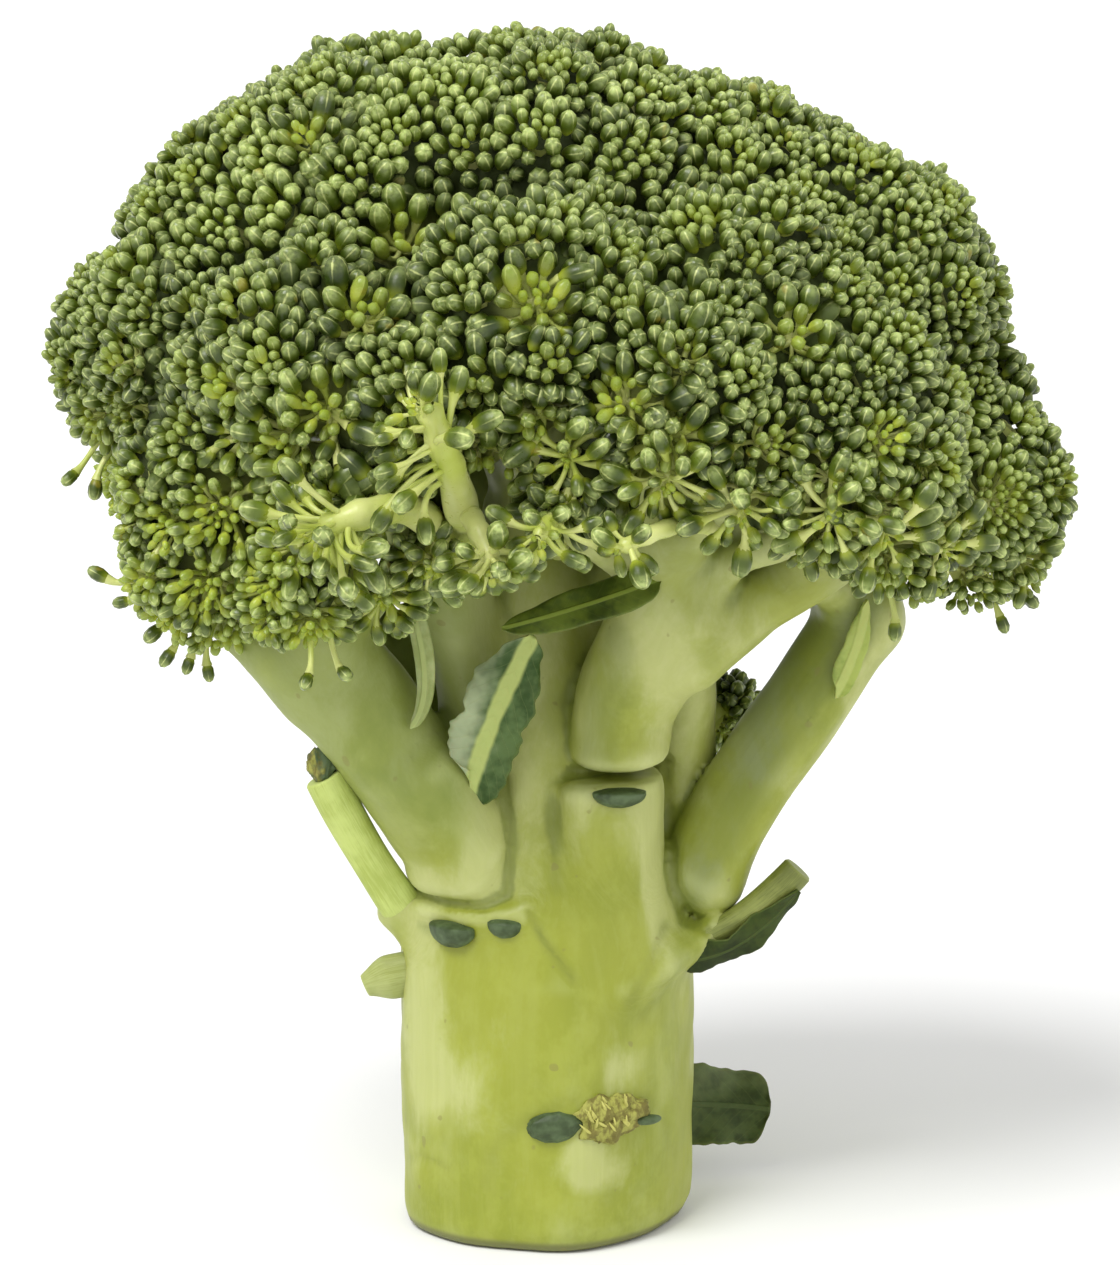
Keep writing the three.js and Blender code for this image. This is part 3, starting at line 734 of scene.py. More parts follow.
def add_strays(skins):
    for tip in np.array(STRAYS, float):
        floret = crown_depth(tip[None])[1].argmin()
        inward = unit(CENTRES[floret] - tip)
        root = tip + inward * 7
        bend = mix(root, tip, 0.5) + [0, 0, -1.5] + rng.normal(0, 0.5, 3)
        path = bow([root, bend, tip], np.linspace(0, 1, 7))
        radii = np.array([[0.6, 0.5, 0.45, 0.45, 0.5, 0.65, 0.9]])
        add_stems(skins[floret], path[None], radii, 6, 0.6, 0.1)
        way = unit(tip - bend)[None]
        width = rng.uniform(2.0, 2.7, 1)
        none = 0 * width
        foot = tip[None] - way * 0.4
        add_buds(skins[floret], foot, way, width, width * 1.5, width * 0.2, none, none)


def painted_light_and_shade(points):
    """Painted light and shade on the buds: how much lighter than elsewhere, low on the left most,
    in the middle least.
    """
    left = smooth(points[:, 0], -12, -38) * smooth(points[:, 2], 140, 118)
    middle = smooth(np.hypot(points[:, 0] - 12, (points[:, 2] - 142) * 1.3), 46, 12)
    return 0.45 * left - 0.4 * middle


# Hollows between the florets, where buds lie deeper, in painted shade: x, z, two half sizes, how
# much.
HOLLOWS = [
    (-57, 150, 5, 4, 0.9),
    (-63, 136, 12, 5, 1.0),
    (-47, 134, 8, 4, 0.8),
    (-27, 134, 9, 5, 0.8),
    (-26, 125, 8, 4, 0.8),
    (-12, 127, 6, 7, 1.0),
    (8, 122, 7, 4, 0.7),
    (16, 141, 9, 5, 0.6),
    (40, 162, 10, 3, 0.5),
    (-10, 172, 14, 3, 0.5),
    (56, 142, 9, 4, 0.4),
]


def hollow_shade_at(points):
    """How far each point of the crown's front lies in a dip between florets, and so in painted
    shade, 0 to 1.
    """
    deep = np.zeros(len(points))
    for x, z, wide, tall, much in HOLLOWS:
        far = ((points[:, 0] - x) / wide) ** 2 + ((points[:, 2] - z) / tall) ** 2
        deep = np.maximum(deep, much * np.exp(-far))
    return deep * smooth(points[:, 1], 12, 0)


def crown_pieces(material):
    rosettes = Rosettes()
    spots, owner, share, widths, filler = grown_buds(rosettes)
    count = len(spots)
    facing = crown_normal(spots)
    offset = spots - rosettes.place[owner]
    offset = offset - facing * (offset * facing).sum(1, keepdims=True)
    out = np.linalg.norm(offset, axis=1)
    away = unit(offset)
    opened, bend = rosettes.opened[owner], rosettes.bend[owner]
    high = smooth(spots[:, 2], 125, 170)
    upright = smooth(spots[:, 2], 124, 140) * (1 - np.abs(facing[:, 2])) * 0.42
    tilt = np.minimum(out / bend, 1.15) * mix(mix(0.85, 0.5, high), 1.2, opened)
    sink = bend * (1 - np.cos(np.minimum(out / bend, 1.2))) * 1.1
    bowl = 2.2 * opened * (1 - np.clip(share, 0, 1)) + 1.7 * opened * filler
    # How far each bud lies in a dip between florets: it sinks there, and is darkened as painted
    # shade.
    hollow_shade = hollow_shade_at(spots)
    rise = rosettes.rise[owner] - sink - bowl - 2.2 * hollow_shade + rng.normal(0, 0.45, count)
    ways = unit(
        facing * np.cos(tilt)[:, None]
        + away * np.sin(tilt)[:, None]
        + rng.normal(0, 0.25, (count, 3))
        + upright[:, None] * [0, 0, 1]
    )
    spots = spots + facing * rise[:, None] + away * (0.28 * opened * out)[:, None]
    lengths = widths * rng.uniform(1.2, 1.6, count) * mix(1, 1.12, opened)
    low_left = smooth(spots[:, 0], -14, -36) * smooth(spots[:, 2], 132, 118)
    youth = np.clip(1.15 - share / 0.62 + 0.25 * low_left, 0, 1) * rosettes.youth[owner]
    tint = 0.55 * rosettes.tint[owner] + 0.45 * rng.uniform(0, 1, count)
    # Painted light and shade by place on the crown, and painted shade in the dips between florets.
    tint = tint + painted_light_and_shade(spots) - 0.6 * hollow_shade
    # Painted light: the buds are lighter towards the top of the crown.
    tint += 0.16 * smooth(spots[:, 2], 155, 180)
    tint = np.clip(tint + 0.35 * (0.5 - np.clip(share, 0, 1.2)), 0, 1)
    # Painted shade: buds far out of their rosettes, between them and in the dips are darkened as
    # lying deep.
    shade_depth = np.maximum(smooth(share, 0.85, 1.25) * 0.76, 0.78 * hollow_shade)
    reach = ways * (lengths * 0.65)[:, None]
    spots = kept_in(spots + reach, 0.55 * widths[:, None]) - reach
    feet = spots - ways * (lengths * 0.35)[:, None]
    skins = [Skin() for _ in FLORETS]
    for i in range(len(FLORETS)):
        add_core(skins[i], i, rosettes)
    for k in range(len(rosettes.place)):
        skin = skins[rosettes.floret[k]]
        mine = np.flatnonzero(owner == k)
        add_rosette_stem(skin, rosettes, k)
        if not len(mine):
            continue
        each = (feet, ways, widths, lengths, tint, youth, shade_depth)
        add_buds(skin, *(values[mine] for values in each))
        shown = mine[(share[mine] > mix(0.55, 0.1, rosettes.opened[k])) & ~filler[mine]]
        if rosettes.opened[k] > 0.2 and len(shown):
            add_pedicels(skin, rosettes, k, feet[shown], ways[shown], widths[shown])
    add_strays(skins)
    for name, i in INDEX.items():
        dress(skins[i], f"buds_{name}", material, "floret", f"floret_{name}")


# ---- The stalk, its branches and twigs ----------------------------------------------------------

CELL = 0.95  # the grid's step, from which the stalk's skin is drawn
BRANCH_SIDES = ("front_right", "left", "front_left", "right", "left_back", "back", "back_right")
STALK_NODES = ["stalk", *(f"branch_{side}" for side in BRANCH_SIDES)]


def round_cut(a, b, edge):
    """The larger of two distances, rounded over edge where they meet."""
    share = np.clip(0.5 + 0.5 * (a - b) / edge, 0, 1)
    return mix(b, a, share) + edge * share * (1 - share)


class Grove:
    """A field of distances on a grid, to which limbs are joined one after another."""

    def __init__(self, low, high):
        self.low = np.array(low, float)
        self.size = np.ceil((np.array(high) - self.low) / CELL).astype(int) + 1
        self.field = np.full(self.size, 60.0)
        self.weight = np.full(self.size, 1e-9)
        self.grain = np.zeros((*self.size, 3))

    def window(self, low, high):
        a = np.maximum(np.floor((low - self.low) / CELL).astype(int), 0)
        b = np.minimum(np.ceil((high - self.low) / CELL).astype(int) + 1, self.size)
        cut = tuple(slice(i, j) for i, j in zip(a, b))
        lines = [self.low[k] + CELL * np.arange(a[k], b[k]) for k in range(3)]
        return cut, np.stack(np.meshgrid(*lines, indexing="ij"), -1)

    def join(self, cut, distance, grain, blend):
        """Blend may vary over the grid: small keeps a crease where the limb meets the rest."""
        if callable(blend):
            blend = blend(self.low[2] + CELL * np.arange(cut[2].start, cut[2].stop))[None, None]
        field = self.field[cut]
        share = np.clip(0.5 + 0.5 * (field - distance) / blend, 0, 1)
        joined = mix(field, distance, share) - blend * share * (1 - share)
        weight = np.exp(-np.clip(distance, -12, 12) / 1.2)
        self.grain[cut] += weight[..., None] * grain
        self.weight[cut] += weight
        self.field[cut] = joined

    def limb(self, path, radii, blend, lean=0.0, top=None, foot=None):
        """A round limb along a path, cut off flat above top or below foot with a rounded edge.

        lean adds a slow swelling round it, as growing makes.
        """
        path, radii = np.asarray(path, float), np.asarray(radii, float)
        reach = radii.max() + 5
        cut, points = self.window(path.min(0) - reach, path.max(0) + reach)
        best = np.full(points.shape[:-1], 1e9)
        grain = np.zeros(points.shape)
        travelled = 0.0
        heading = unit(path[1] - path[0])
        side = axes_of(heading[None])[0][0]
        for a, b, ra, rb in zip(path[:-1], path[1:], radii[:-1], radii[1:]):
            step = b - a
            long = np.linalg.norm(step)
            heading = step / long
            side = unit(side - heading * (side @ heading))
            other = np.cross(heading, side)
            offset = points - a
            share = np.clip(offset @ heading / long, 0, 1)
            offset = offset - share[..., None] * step
            distance = np.linalg.norm(offset, axis=-1) - mix(ra, rb, share)
            nearer = distance < best
            best = np.where(nearer, distance, best)
            mark = np.stack([offset @ side, offset @ other, (travelled + share * long)], -1)
            grain = np.where(nearer[..., None], mark, grain)
            travelled += long
        turn = np.arctan2(grain[..., 1], grain[..., 0])
        best = best - lean * np.cos(3 * turn + grain[..., 2] * 0.06)
        if top is not None:
            above = points[..., 2] - top - 0.06 * (points[..., 0] - path[-1][0])
            best = round_cut(best, above, edge=2.4)
        if foot is not None:
            best = round_cut(best, foot - points[..., 2], edge=3.2)
        self.join(cut, best, grain + path[0] * [0, 0, 1], blend)

    def trunk(self):
        cut, points = self.window(np.array([-30, -30, -3]), np.array([30, 30, 122]))
        z = points[..., 2]
        heights = [row[0] for row in TRUNK]
        x, y, radius = (np.interp(z, heights, [row[k] for row in TRUNK]) for k in (1, 2, 3))
        turn = np.arctan2(points[..., 1] - y, points[..., 0] - x)
        lobes = 1 + 0.02 * np.cos(5 * turn + z / 40) + 0.008 * np.cos(9 * turn - z / 25)
        distance = np.hypot(points[..., 0] - x, points[..., 1] - y) - radius * lobes
        distance = np.maximum(distance, z - 118)
        offset = points - np.stack([x, y, 0 * z], -1)
        self.join(cut, distance * 0.97, offset, 1.0)

    def cut_flat(self, edge):
        """The flat cut face at z = 0, its rim rounded by edge."""
        z = self.low[2] + CELL * np.arange(self.size[2])
        outside = -z[None, None, :] + edge * 0.3 - 0.37
        a, b = self.field + edge, outside + edge
        corner = np.minimum(np.maximum(a, b), 0) + np.hypot(np.maximum(a, 0), np.maximum(b, 0))
        self.field = np.where(z[None, None, :] < 4 * edge, corner - edge, self.field)

    def skin(self):
        """Points, four-cornered faces and grain of the surface where the field is zero."""
        f = self.field
        inside = f < 0
        corners = [inside[i : i - 1 or None, j : j - 1 or None, k : k - 1 or None]
                   for i in (0, 1) for j in (0, 1) for k in (0, 1)]
        held = sum(corner.astype(np.int8) for corner in corners)
        cells = (held > 0) & (held < 8)
        index = np.full(cells.shape, -1)
        index[cells] = np.arange(cells.sum())
        where = np.argwhere(cells)
        total, hits = np.zeros((len(where), 3)), np.zeros(len(where))
        for axis in range(3):
            for p in (0, 1):
                for q in (0, 1):
                    start = np.insert([p, q], axis, 0)
                    end = start + np.eye(3, dtype=int)[axis]
                    a = f[tuple((where + start).T)]
                    b = f[tuple((where + end).T)]
                    crossed = (a < 0) != (b < 0)
                    share = np.where(crossed, a / np.where(a == b, 1, a - b), 0)
                    spot = where + start + share[:, None] * (end - start)
                    total += spot * crossed[:, None]
                    hits += crossed
        points = self.low + CELL * total / hits[:, None]
        faces = []
        for axis in range(3):
            a = inside.take(range(f.shape[axis] - 1), axis)
            b = inside.take(range(1, f.shape[axis]), axis)
            edges = np.argwhere(a != b)
            u, v = [k for k in range(3) if k != axis]
            if axis == 1:
                u, v = v, u
            inner = (edges[:, u] > 0) & (edges[:, v] > 0)
            inner &= (edges[:, u] < f.shape[u] - 1) & (edges[:, v] < f.shape[v] - 1)
            edges = edges[inner]
            ring = []
            for du, dv in ((1, 1), (0, 1), (0, 0), (1, 0)):
                cell = edges.copy()
                cell[:, u] -= du
                cell[:, v] -= dv
                ring.append(index[tuple(cell.T)])
            quads = np.stack(ring, 1)
            outward = a[tuple(edges.T)]
            quads = np.where(outward[:, None], quads, quads[:, ::-1])
            faces.append(quads)
        grain = (self.grain / self.weight[..., None])[tuple(where.T)]
        return points, np.concatenate(faces), grain


def twig_of(name):
    """The path and radii of the twig from its branch's fork to a floret's seat."""
    x, y, z, size, branch = FLORETS[name]
    root, fork, radii, _ = BRANCHES[branch]
    centre, start = np.array([x, y, z], float), np.array(fork, float)
    heading = unit(start - np.array(root))
    axis = unit(centre - CROWN_FOCUS)
    seat = centre - axis * size * FLORET_SEAT
    reach = np.linalg.norm(seat - start)
    t = np.linspace(0, 1, 7)
    path = bezier(start, start + heading * reach * 0.2, seat - axis * reach * 0.45, seat, t)
    tip = size * TWIG_SHARE
    foot = max(tip, 0.62 * radii[1])
    shape = mix(foot, tip, smooth(t, 0, 0.6)) * (1 + 0.2 * smooth(t, 0.7, 1))
    return path, shape


def branch_of(name):
    root, fork, radii, pull = BRANCHES[name]
    a, b = np.array(root, float), np.array(fork, float)
    climb = np.array([0, 0, np.linalg.norm(b - a) * pull])
    t = np.linspace(0, 1, 9)
    path = bezier(a, mix(a, b, 0.15) + climb, mix(b, a, 0.3), b, t)
    return path, mix(*np.array(radii, float), t)


def edges_of(faces):
    """Every edge of the four-cornered faces, both ways."""
    edges = np.concatenate([faces[:, [i, (i + 1) % 4]] for i in range(4)])
    return np.concatenate([edges, edges[:, ::-1]])


def around_each(points, edges):
    """The middle of each point's neighbours."""
    start, end = edges.T
    degree = np.bincount(start, minlength=len(points))
    return np.stack([np.bincount(start, points[end, k], len(points)) / degree for k in range(3)], 1)


def relaxed(points, faces):
    """Evens out the steps that the grid leaves, without shrinking thin limbs."""
    edges = edges_of(faces)
    for pull in (0.55, -0.53):
        points = points + pull * (around_each(points, edges) - points)
    return points


# How softly each branch runs into what is there before it: a number, or one that changes with
# height.
SEAMS = {
    "front_right_base": lambda z: mix(7.0, 1.3, smooth(z, 46, 66)),
    "left": lambda z: mix(0.7, 2.2, smooth(z, 66, 84)),
    "front_right": lambda z: mix(0.6, 2.0, smooth(z, 84, 98)),
    "right": lambda z: mix(0.9, 2.2, smooth(z, 62, 80)),
    "left_back": lambda z: 2.0 + 0 * z,
}

BRANCH_SEAM, TWIG_SEAM, LEFT_FOOT_SEAM = 3.0, 3.2, 1.6
STUB_TOP = 76.0  # the flat top of the front right branch's base
CUT_EDGE = 1.3  # how far the rim of the cut end is rounded

# Branches that end in a flat foot: how low the foot is cut, where its path starts, its radius.
FEET = {
    "left": (57.0, (-13.6, -9.8, 53), 8.2),
    "front_right": (77.4, (11.6, -12.6, 73), 7.7),
}
# A second limb that widens the left branch's foot, cut at the same height: path, radii.
LEFT_FOOT = ([(-10.2, -13.2, 54), (-11.2, -13.8, 64), (-18, -15, 77)], (6.6, 6.9, 6.4))

# Smaller limbs that leave the branches: path, radii, seam.
LIMB_DETAILS = [
    ([(-36, -14.5, 92), (-43, -15, 98), (-50.5, -14.5, 103.5)], (7.2, 6, 4.4), 3.0),
    ([(-35, -16, 95), (-34.5, -21, 104), (-35, -25, 110)], (6.5, 5, 4), 3.0),
    ([(23, -18, 97), (33, -19, 105), (45, -20, 112)], (6.4, 5.2, 4.4), 2.4),
    ([(18.5, -18, 98), (17.5, -23, 108), (18.5, -28, 117)], (6.4, 5.4, 4.2), 2.4),
    ([(19, 1, 60), (22.5, 2.5, 74), (23, -3, 91)], (6, 5.2, 4.4), 0.7),
]
# Low ridges, where leaves grew: path, radius, seam.
LEDGES = [
    (
        [
            (-22.6, -5.5, 55), (-18.6, -12.6, 54.6), (-12.6, -17.7, 54.2), (-6, -20.9, 54.8),
            (-3, -21, 55.8),
        ],
        1.7,
        2.0,
    ),
    ([(11.5, -18.6, 43), (18.5, -15.4, 46), (23, -10, 47.4), (27.6, -8, 50)], 2.3, 4.0),
    ([(-20.5, -9, 49.5), (-24, -9, 53)], 3.3, 3.0),
]

# Fine lines on the skin's front, grooved and darkened with painted shade: x and z of their points,
# how wide, how deep.
GROOVES = [
    ([(-2.5, 56.2), (-0.5, 52), (4.5, 45.5)], 0.9, 0.4),
    ([(19.6, 76), (20, 66), (20.6, 57), (22.5, 52), (26, 50.2)], 0.9, 0.5),
    ([(19, 52), (16.6, 46), (13.5, 41)], 1.1, 0.25),
    ([(4.6, 26), (1, 24.6), (-4, 21.5), (-8, 17.5), (-9.5, 11)], 1.2, 0.2),
    ([(16, 24), (19, 20), (21, 13)], 1.0, 0.2),
    ([(-22.5, 12), (-20, 14), (-16.5, 13)], 0.8, 0.2),
    ([(-22, 56.3), (-18, 56.2), (-10, 56.4), (-6, 58.5), (-5.4, 66), (-6.4, 76)], 0.8, 0.5),
    ([(4, 76.8), (11, 76.8), (20, 76.8)], 0.8, 0.5),
    ([(1.6, 60), (1, 68), (2.2, 75), (5, 77)], 1.0, 0.25),
]

# Where the white bloom is rubbed off (above 0) or thick (below 0): middle, three half sizes, how
# much.
WORN = [
    ((12.5, -20, 87), (6, 12, 9), 0.5),
    ((20, -24, 93), (5, 10, 10), -0.4),
    ((6, -20, 84), (2.6, 8, 14), -0.35),
    ((-27, -24, 84), (4.5, 10, 10), 0.6),
    ((-18, -24, 73), (4.5, 8, 9), 0.55),
    ((-10.5, -20, 65), (4, 7, 8), -0.6),
    ((-14, -19, 59.5), (9, 6, 3), -0.55),
    ((24, -16, 103), (4, 8, 8), 0.45),
    ((37, -19, 106), (7, 7, 3), 0.35),
    ((43, -12, 83), (5, 9, 13), 0.5),
    ((33, -14, 66), (5, 9, 9), 0.35),
    ((28, -12, 57), (5, 8, 5), -0.5),
    ((17.5, -18, 62), (2.6, 7, 16), -0.75),
    ((9, -22, 60), (6, 8, 14), 0.35),
    ((-3, -20, 74), (5, 8, 14), -0.25),
    ((-20, -14, 38), (4.2, 9, 20), -0.75),
    ((-9.5, -22, 50), (8, 8, 6), 0.3),
    ((20.5, -12, 33), (3.4, 9, 22), -0.3),
    ((5.8, -23, 15.8), (3.4, 6, 5.6), -0.9),
    ((9.5, -23, 12.5), (4.4, 6, 3.0), -0.5),
    ((-14, -18, 26), (7, 7, 6), -0.5),
    ((14, -20, 31), (6, 6, 4.5), -0.45),
    ((2, -24, 40), (9, 8, 12), 0.25),
]


def worn_at(points):
    """How much of the bloom is rubbed off at each point: most low down, less on the branches."""
    worn = mix(0.82, 0.34, smooth(points[:, 2], 54, 82))
    worn = worn + 0.12 * waver(points * [1, 1, 0.5], 22, 11)
    for at, half, much in WORN:
        far = (((points - at) / half) ** 2).sum(1)
        worn = worn + much * np.exp(-far)
    return worn


def shaded_at(points):
    """Painted shade in darker grey-green: on the right branch's top, behind the front branches,
    under the crown.
    """
    line = near_line(points, [(27, -3, 58), (36, -3, 74), (52, -4, 101)])
    side = (points - [36, -3, 74]) @ unit(np.array([-0.85, -0.2, 0.5]))
    right = smooth(line, 11, 8) * smooth(side, -1.5, 3) * smooth(points[:, 0], 18, 24)
    behind = smooth(points[:, 1], -2, 10) * smooth(points[:, 2], 55, 80) * 0.5
    high = smooth(points[:, 2], 96, 122) * 0.6
    left = smooth(near_line(points, [(7, -19, 78), (8.5, -21, 88), (12, -22, 100)]), 5, 2) * 0.45
    return np.maximum.reduce([right, behind, high, left])


def near_line(points, path):
    """The distance from each point to a line through the given ones."""
    best = np.full(len(points), 1e9)
    for a, b in zip(np.array(path[:-1], float), np.array(path[1:], float)):
        step = b - a
        share = np.clip((points - a) @ step / (step @ step), 0, 1)
        best = np.minimum(best, np.linalg.norm(points - a - share[:, None] * step, axis=1))
    return best


def stalk_piece(material):
    grove = Grove((-62, -48, -3), (66, 50, 150))
    grove.trunk()
    path, radii = branch_of("front_right_base")
    path = np.concatenate([path, [path[-1] + [0, 0, 10]]])
    radii = np.concatenate([radii, radii[-1:]])
    grove.limb(path, radii, SEAMS["front_right_base"], lean=0.3, top=STUB_TOP)
    for path, radius, seam in LEDGES:
        grove.limb(path, np.full(len(path), radius), seam)
    for name in BRANCHES:
        path, radii = branch_of(name)
        if name in FEET:
            foot, start, wide = FEET[name]
            path, radii = np.concatenate([[start], path]), np.concatenate([[wide], radii])
            grove.limb(path, radii, SEAMS[name], lean=0.35, foot=foot)
        elif name != "front_right_base":
            grove.limb(path, radii, SEAMS.get(name, BRANCH_SEAM), lean=0.35)
    grove.limb(*LEFT_FOOT, LEFT_FOOT_SEAM, foot=FEET["left"][0])
    for path, radii, seam in LIMB_DETAILS:
        grove.limb(path, radii, seam)
    for name in FLORETS:
        grove.limb(*twig_of(name), TWIG_SEAM)
    grove.cut_flat(CUT_EDGE)
    points, faces, grain = grove.skin()
    points = relaxed(points, faces)
    normals = vertex_normals(points, faces)
    lift = 0.3 * waver(points * [1, 1, 0.4], 16, 5) + 0.12 * waver(points * [1, 1, 0.6], 5, 6)
    lift = lift * smooth(points[:, 2], 1.5, 8)
    lined = np.zeros(len(points))
    facing = smooth(-normals[:, 1], 0.05, 0.4)
    for line, wide, deep in GROOVES:
        far = near_line(points * [1, 0, 1], [(x, 0, z) for x, z in line])
        mark = np.exp(-((far / wide) ** 2)) * facing
        lift -= deep * mark
        lined = np.maximum(lined, mark * deep / 0.5)
    points = points + normals * lift[:, None]
    points[:, 2] = np.maximum(points[:, 2], 0)
    skin = Skin()
    triangles = np.concatenate([faces[:, [0, 1, 2]], faces[:, [0, 2, 3]]])
    sort = np.stack([worn_at(points), rounding(points, faces, normals), lined], 1)
    skin.add(points, triangles, grain * 0.1, sort)
    piece = dress(skin, "stalk_and_branches", material, "stalk", *STALK_NODES)
    shade = piece.data.attributes.new("shaded", "FLOAT", "POINT")
    shade.data.foreach_set("value", shaded_at(points).astype(np.float32))


def vertex_normals(points, faces):
    a, b, c, d = (points[faces[:, k]] for k in range(4))
    normal = np.cross(c - a, d - b)
    total = np.stack(
        [
            sum(np.bincount(faces[:, k], normal[:, axis], len(points)) for k in range(4))
            for axis in range(3)
        ],
        1,
    )
    return unit(total)


def rounding(points, faces, normals):
    """How much each point stands proud of its neighbours (above 0) or lies in a crease (below)."""
    ROUNDS = 6
    edges, fair = edges_of(faces), points
    for _ in range(ROUNDS):
        fair = around_each(fair, edges)
    return ((points - fair) * normals).sum(1)


# ---- Side shoots --------------------------------------------------------------------------------

# The stem's start, bend and end, its radius, how many buds, how far they stand off, where the fan
# faces, where along the stem the first of them grow.
SHOOTS = {
    "left_high": (
        [(-13, -24, 118), (-11, -53, 124), (-17, -59, 141)], 2.6, 34, 11, (-0.95, -0.3, 0.5), 0.55
    ),
    "left_bent": (
        [(-17, -18, 112), (-15, -54, 130), (-33, -55, 122)], 2.5, 36, 10, (-0.7, -0.25, -0.8), 0.86
    ),
    "left_hanging": (
        [(-11, -16, 112), (-14, -48, 131), (-7.6, -52, 116.6)], 1.9, 26, 6.4, (0.1, -0.3, -1), 0.9
    ),
    "middle": ([(2, -10, 112), (4, -48, 127), (-1, -56, 121)], 1.4, 14, 7.5, (0, -0.7, -0.6), 0.7),
    "right": (
        [(27, -26, 117), (23, -51, 125), (11, -54, 119)], 1.5, 9, 3.8, (-1, -0.4, -0.6), 0.88
    ),
}

# Fans of small young buds that hang below the crown behind the side shoots: place, reach, how many.
FANS_BELOW = [((-24.5, -31, 108.5), 6.2, 44), ((-17, -35, 114), 6, 40)]
FAN_STEM = 1.7  # the stem's radius in a fan of the rim
FAN_START = 0.8  # where along it the first buds grow


def add_fan(skin, shape, largest=3.1):
    """A warty stem that opens into curved pedicels, short ones with young buds inside."""
    stem, radius, count, reach, facing, first = shape
    t = np.linspace(0, 1, 34)
    knobs = 1 + 0.1 * np.sin(t * 40) * smooth(t, 0.5, 0.8) + 0.05 * np.sin(t * 17 + 1)
    thick = radius * mix(1.15, 0.8, t) * knobs
    thick[-1] *= 0.5
    add_stems(skin, bow(stem, t)[None], thick[None], sides=14, tint=0.4, shade_depth=0.1)
    axis = unit(np.array(facing, float))
    side, other = (v[0] for v in axes_of(axis[None]))
    k = np.arange(count)
    share = (k + 0.5) / count
    spread = np.sqrt(share)
    turn = k * GOLDEN_ANGLE
    start = bow(stem, mix(1.0, first, share**1.4))
    grown = smooth(spread, 0.3, 0.75)
    open_by = mix(0.1, 1.4, spread) * rng.uniform(0.85, 1.1, count)
    way = unit(
        axis * np.cos(open_by)[:, None]
        + np.sin(open_by)[:, None] * (np.cos(turn)[:, None] * side + np.sin(turn)[:, None] * other)
        + rng.normal(0, 0.14, (count, 3))
    )
    far = reach * mix(0.3, 1.0, grown) * rng.uniform(0.7, 1.15, count)
    end = kept_in(start + way * far[:, None], margin=5.0)
    aside = unit(np.cross(way, rng.normal(0, 1, (count, 3))))
    bend = mix(start, end, 0.5) + (axis * 0.22 * spread[:, None] + aside * 0.16) * far[:, None]
    paths = arc(start, bend, end, np.linspace(0, 1, 9))
    widths = mix(0.95, largest, grown) * rng.uniform(0.8, 1.15, count)
    flare = np.array([1.7, 1.2, 1.0, 0.95, 0.95, 1.0, 1.1, 1.4, 2.2])
    radii = 0.15 * widths[:, None] * flare[None] * rng.uniform(0.95, 1.1, count)[:, None]
    add_stems(skin, paths, radii, sides=8, tint=0.7, shade_depth=0.15)
    heading = unit(end - bend)
    youth = np.clip(1 - 1.5 * grown, 0, 1)
    lengths = widths * rng.uniform(1.4, 1.65, count)
    tint = rng.uniform(0.35, 1, count)
    add_buds(skin, end - heading * 0.8, heading, widths, lengths, tint, youth, 0 * youth)


def shoot_piece(name, material):
    """One of the side shoots at the front."""
    skin = Skin()
    add_fan(skin, SHOOTS[name])
    dress(skin, f"shoot_{name}_dressed", material, "shoot", f"shoot_{name}")


def rim_fans_piece(material):
    """The fans that open out of the crown's rim."""
    skin = Skin()
    ways = unit(crown_normal(FAN_SPOTS) + [0, -0.3, -0.3])
    for spot, way, (_, _, reach, count) in zip(FAN_SPOTS, ways, RIM_FANS):
        stem = [spot - way * 14, spot - way * 8 + [0, 0, 2], spot - way * 2.5]
        add_fan(skin, (stem, FAN_STEM, count, reach, way, FAN_START))
    for spot, reach, count in FANS_BELOW:
        spot, way = np.array(spot, float), unit(np.array([-0.1, -0.75, -0.6]))
        stem = [spot + [1, 14, 4], spot + [0, 7, 3], spot]
        add_fan(skin, (stem, FAN_STEM, count, reach, way, FAN_START), largest=2.3)
    dress(skin, "rim_fans", material, "shoot")


# ---- Leaves, leaf stalks and scraps -------------------------------------------------------------

# The rib's start, bend and end, the side its face turns to, then its width, its wave, how ragged
# its edge is and how far its start slants, and how wide it is at its start, middle and end.
LEAVES = {
    "leaf_narrow": (
        [(17.5, -28.5, 110.3), (7, -33, 106.8), (-6.5, -31, 103)], (0.1, -0.9, 0.45),
        (6.4, 0.5, 0.2, 0), (0.8, 1, 0.4),
    ),
    "leaf_broad": (
        [(-12, -18.5, 75.5), (-9, -21.5, 87), (-2, -22, 100.5)], (0.2, -1, 0),
        (13, 1.2, 0.9, 3.5), (0.7, 1, 0.45),
    ),
    "leaf_strip": (
        [(-21, -21, 85.5), (-16.5, -22.5, 91), (-20.6, -22.5, 105)], (-0.4, -1, 0),
        (3.6, 0, 0.2, 0), (0.35, 0.9, 1),
    ),
    "leaf_sliver": (
        [(46, -12, 89.5), (49.5, -12.5, 96), (50.8, -12.5, 104.5)], (0.3, -1, 0.2),
        (4.5, 0.2, 0.4, 1), (0.8, 1, 0.2),
    ),
    "leaf_right": (
        [(21, -10.4, 45.4), (31, -11, 45), (40.5, -10, 56.8)], (0.3, -0.9, -0.3),
        (6, 0.8, 0.8, 0), (0.7, 1, 0.5),
    ),
    "leaf_low": (
        [(16, 13, 14), (27, 22, 12), (38, 20, 11.2)], (0.1, -1, 0.5),
        (14.5, 1.2, 0.35, 0), (0.9, 1, 0.8),
    ),
}
BLADE = 0.9  # how thick a blade is


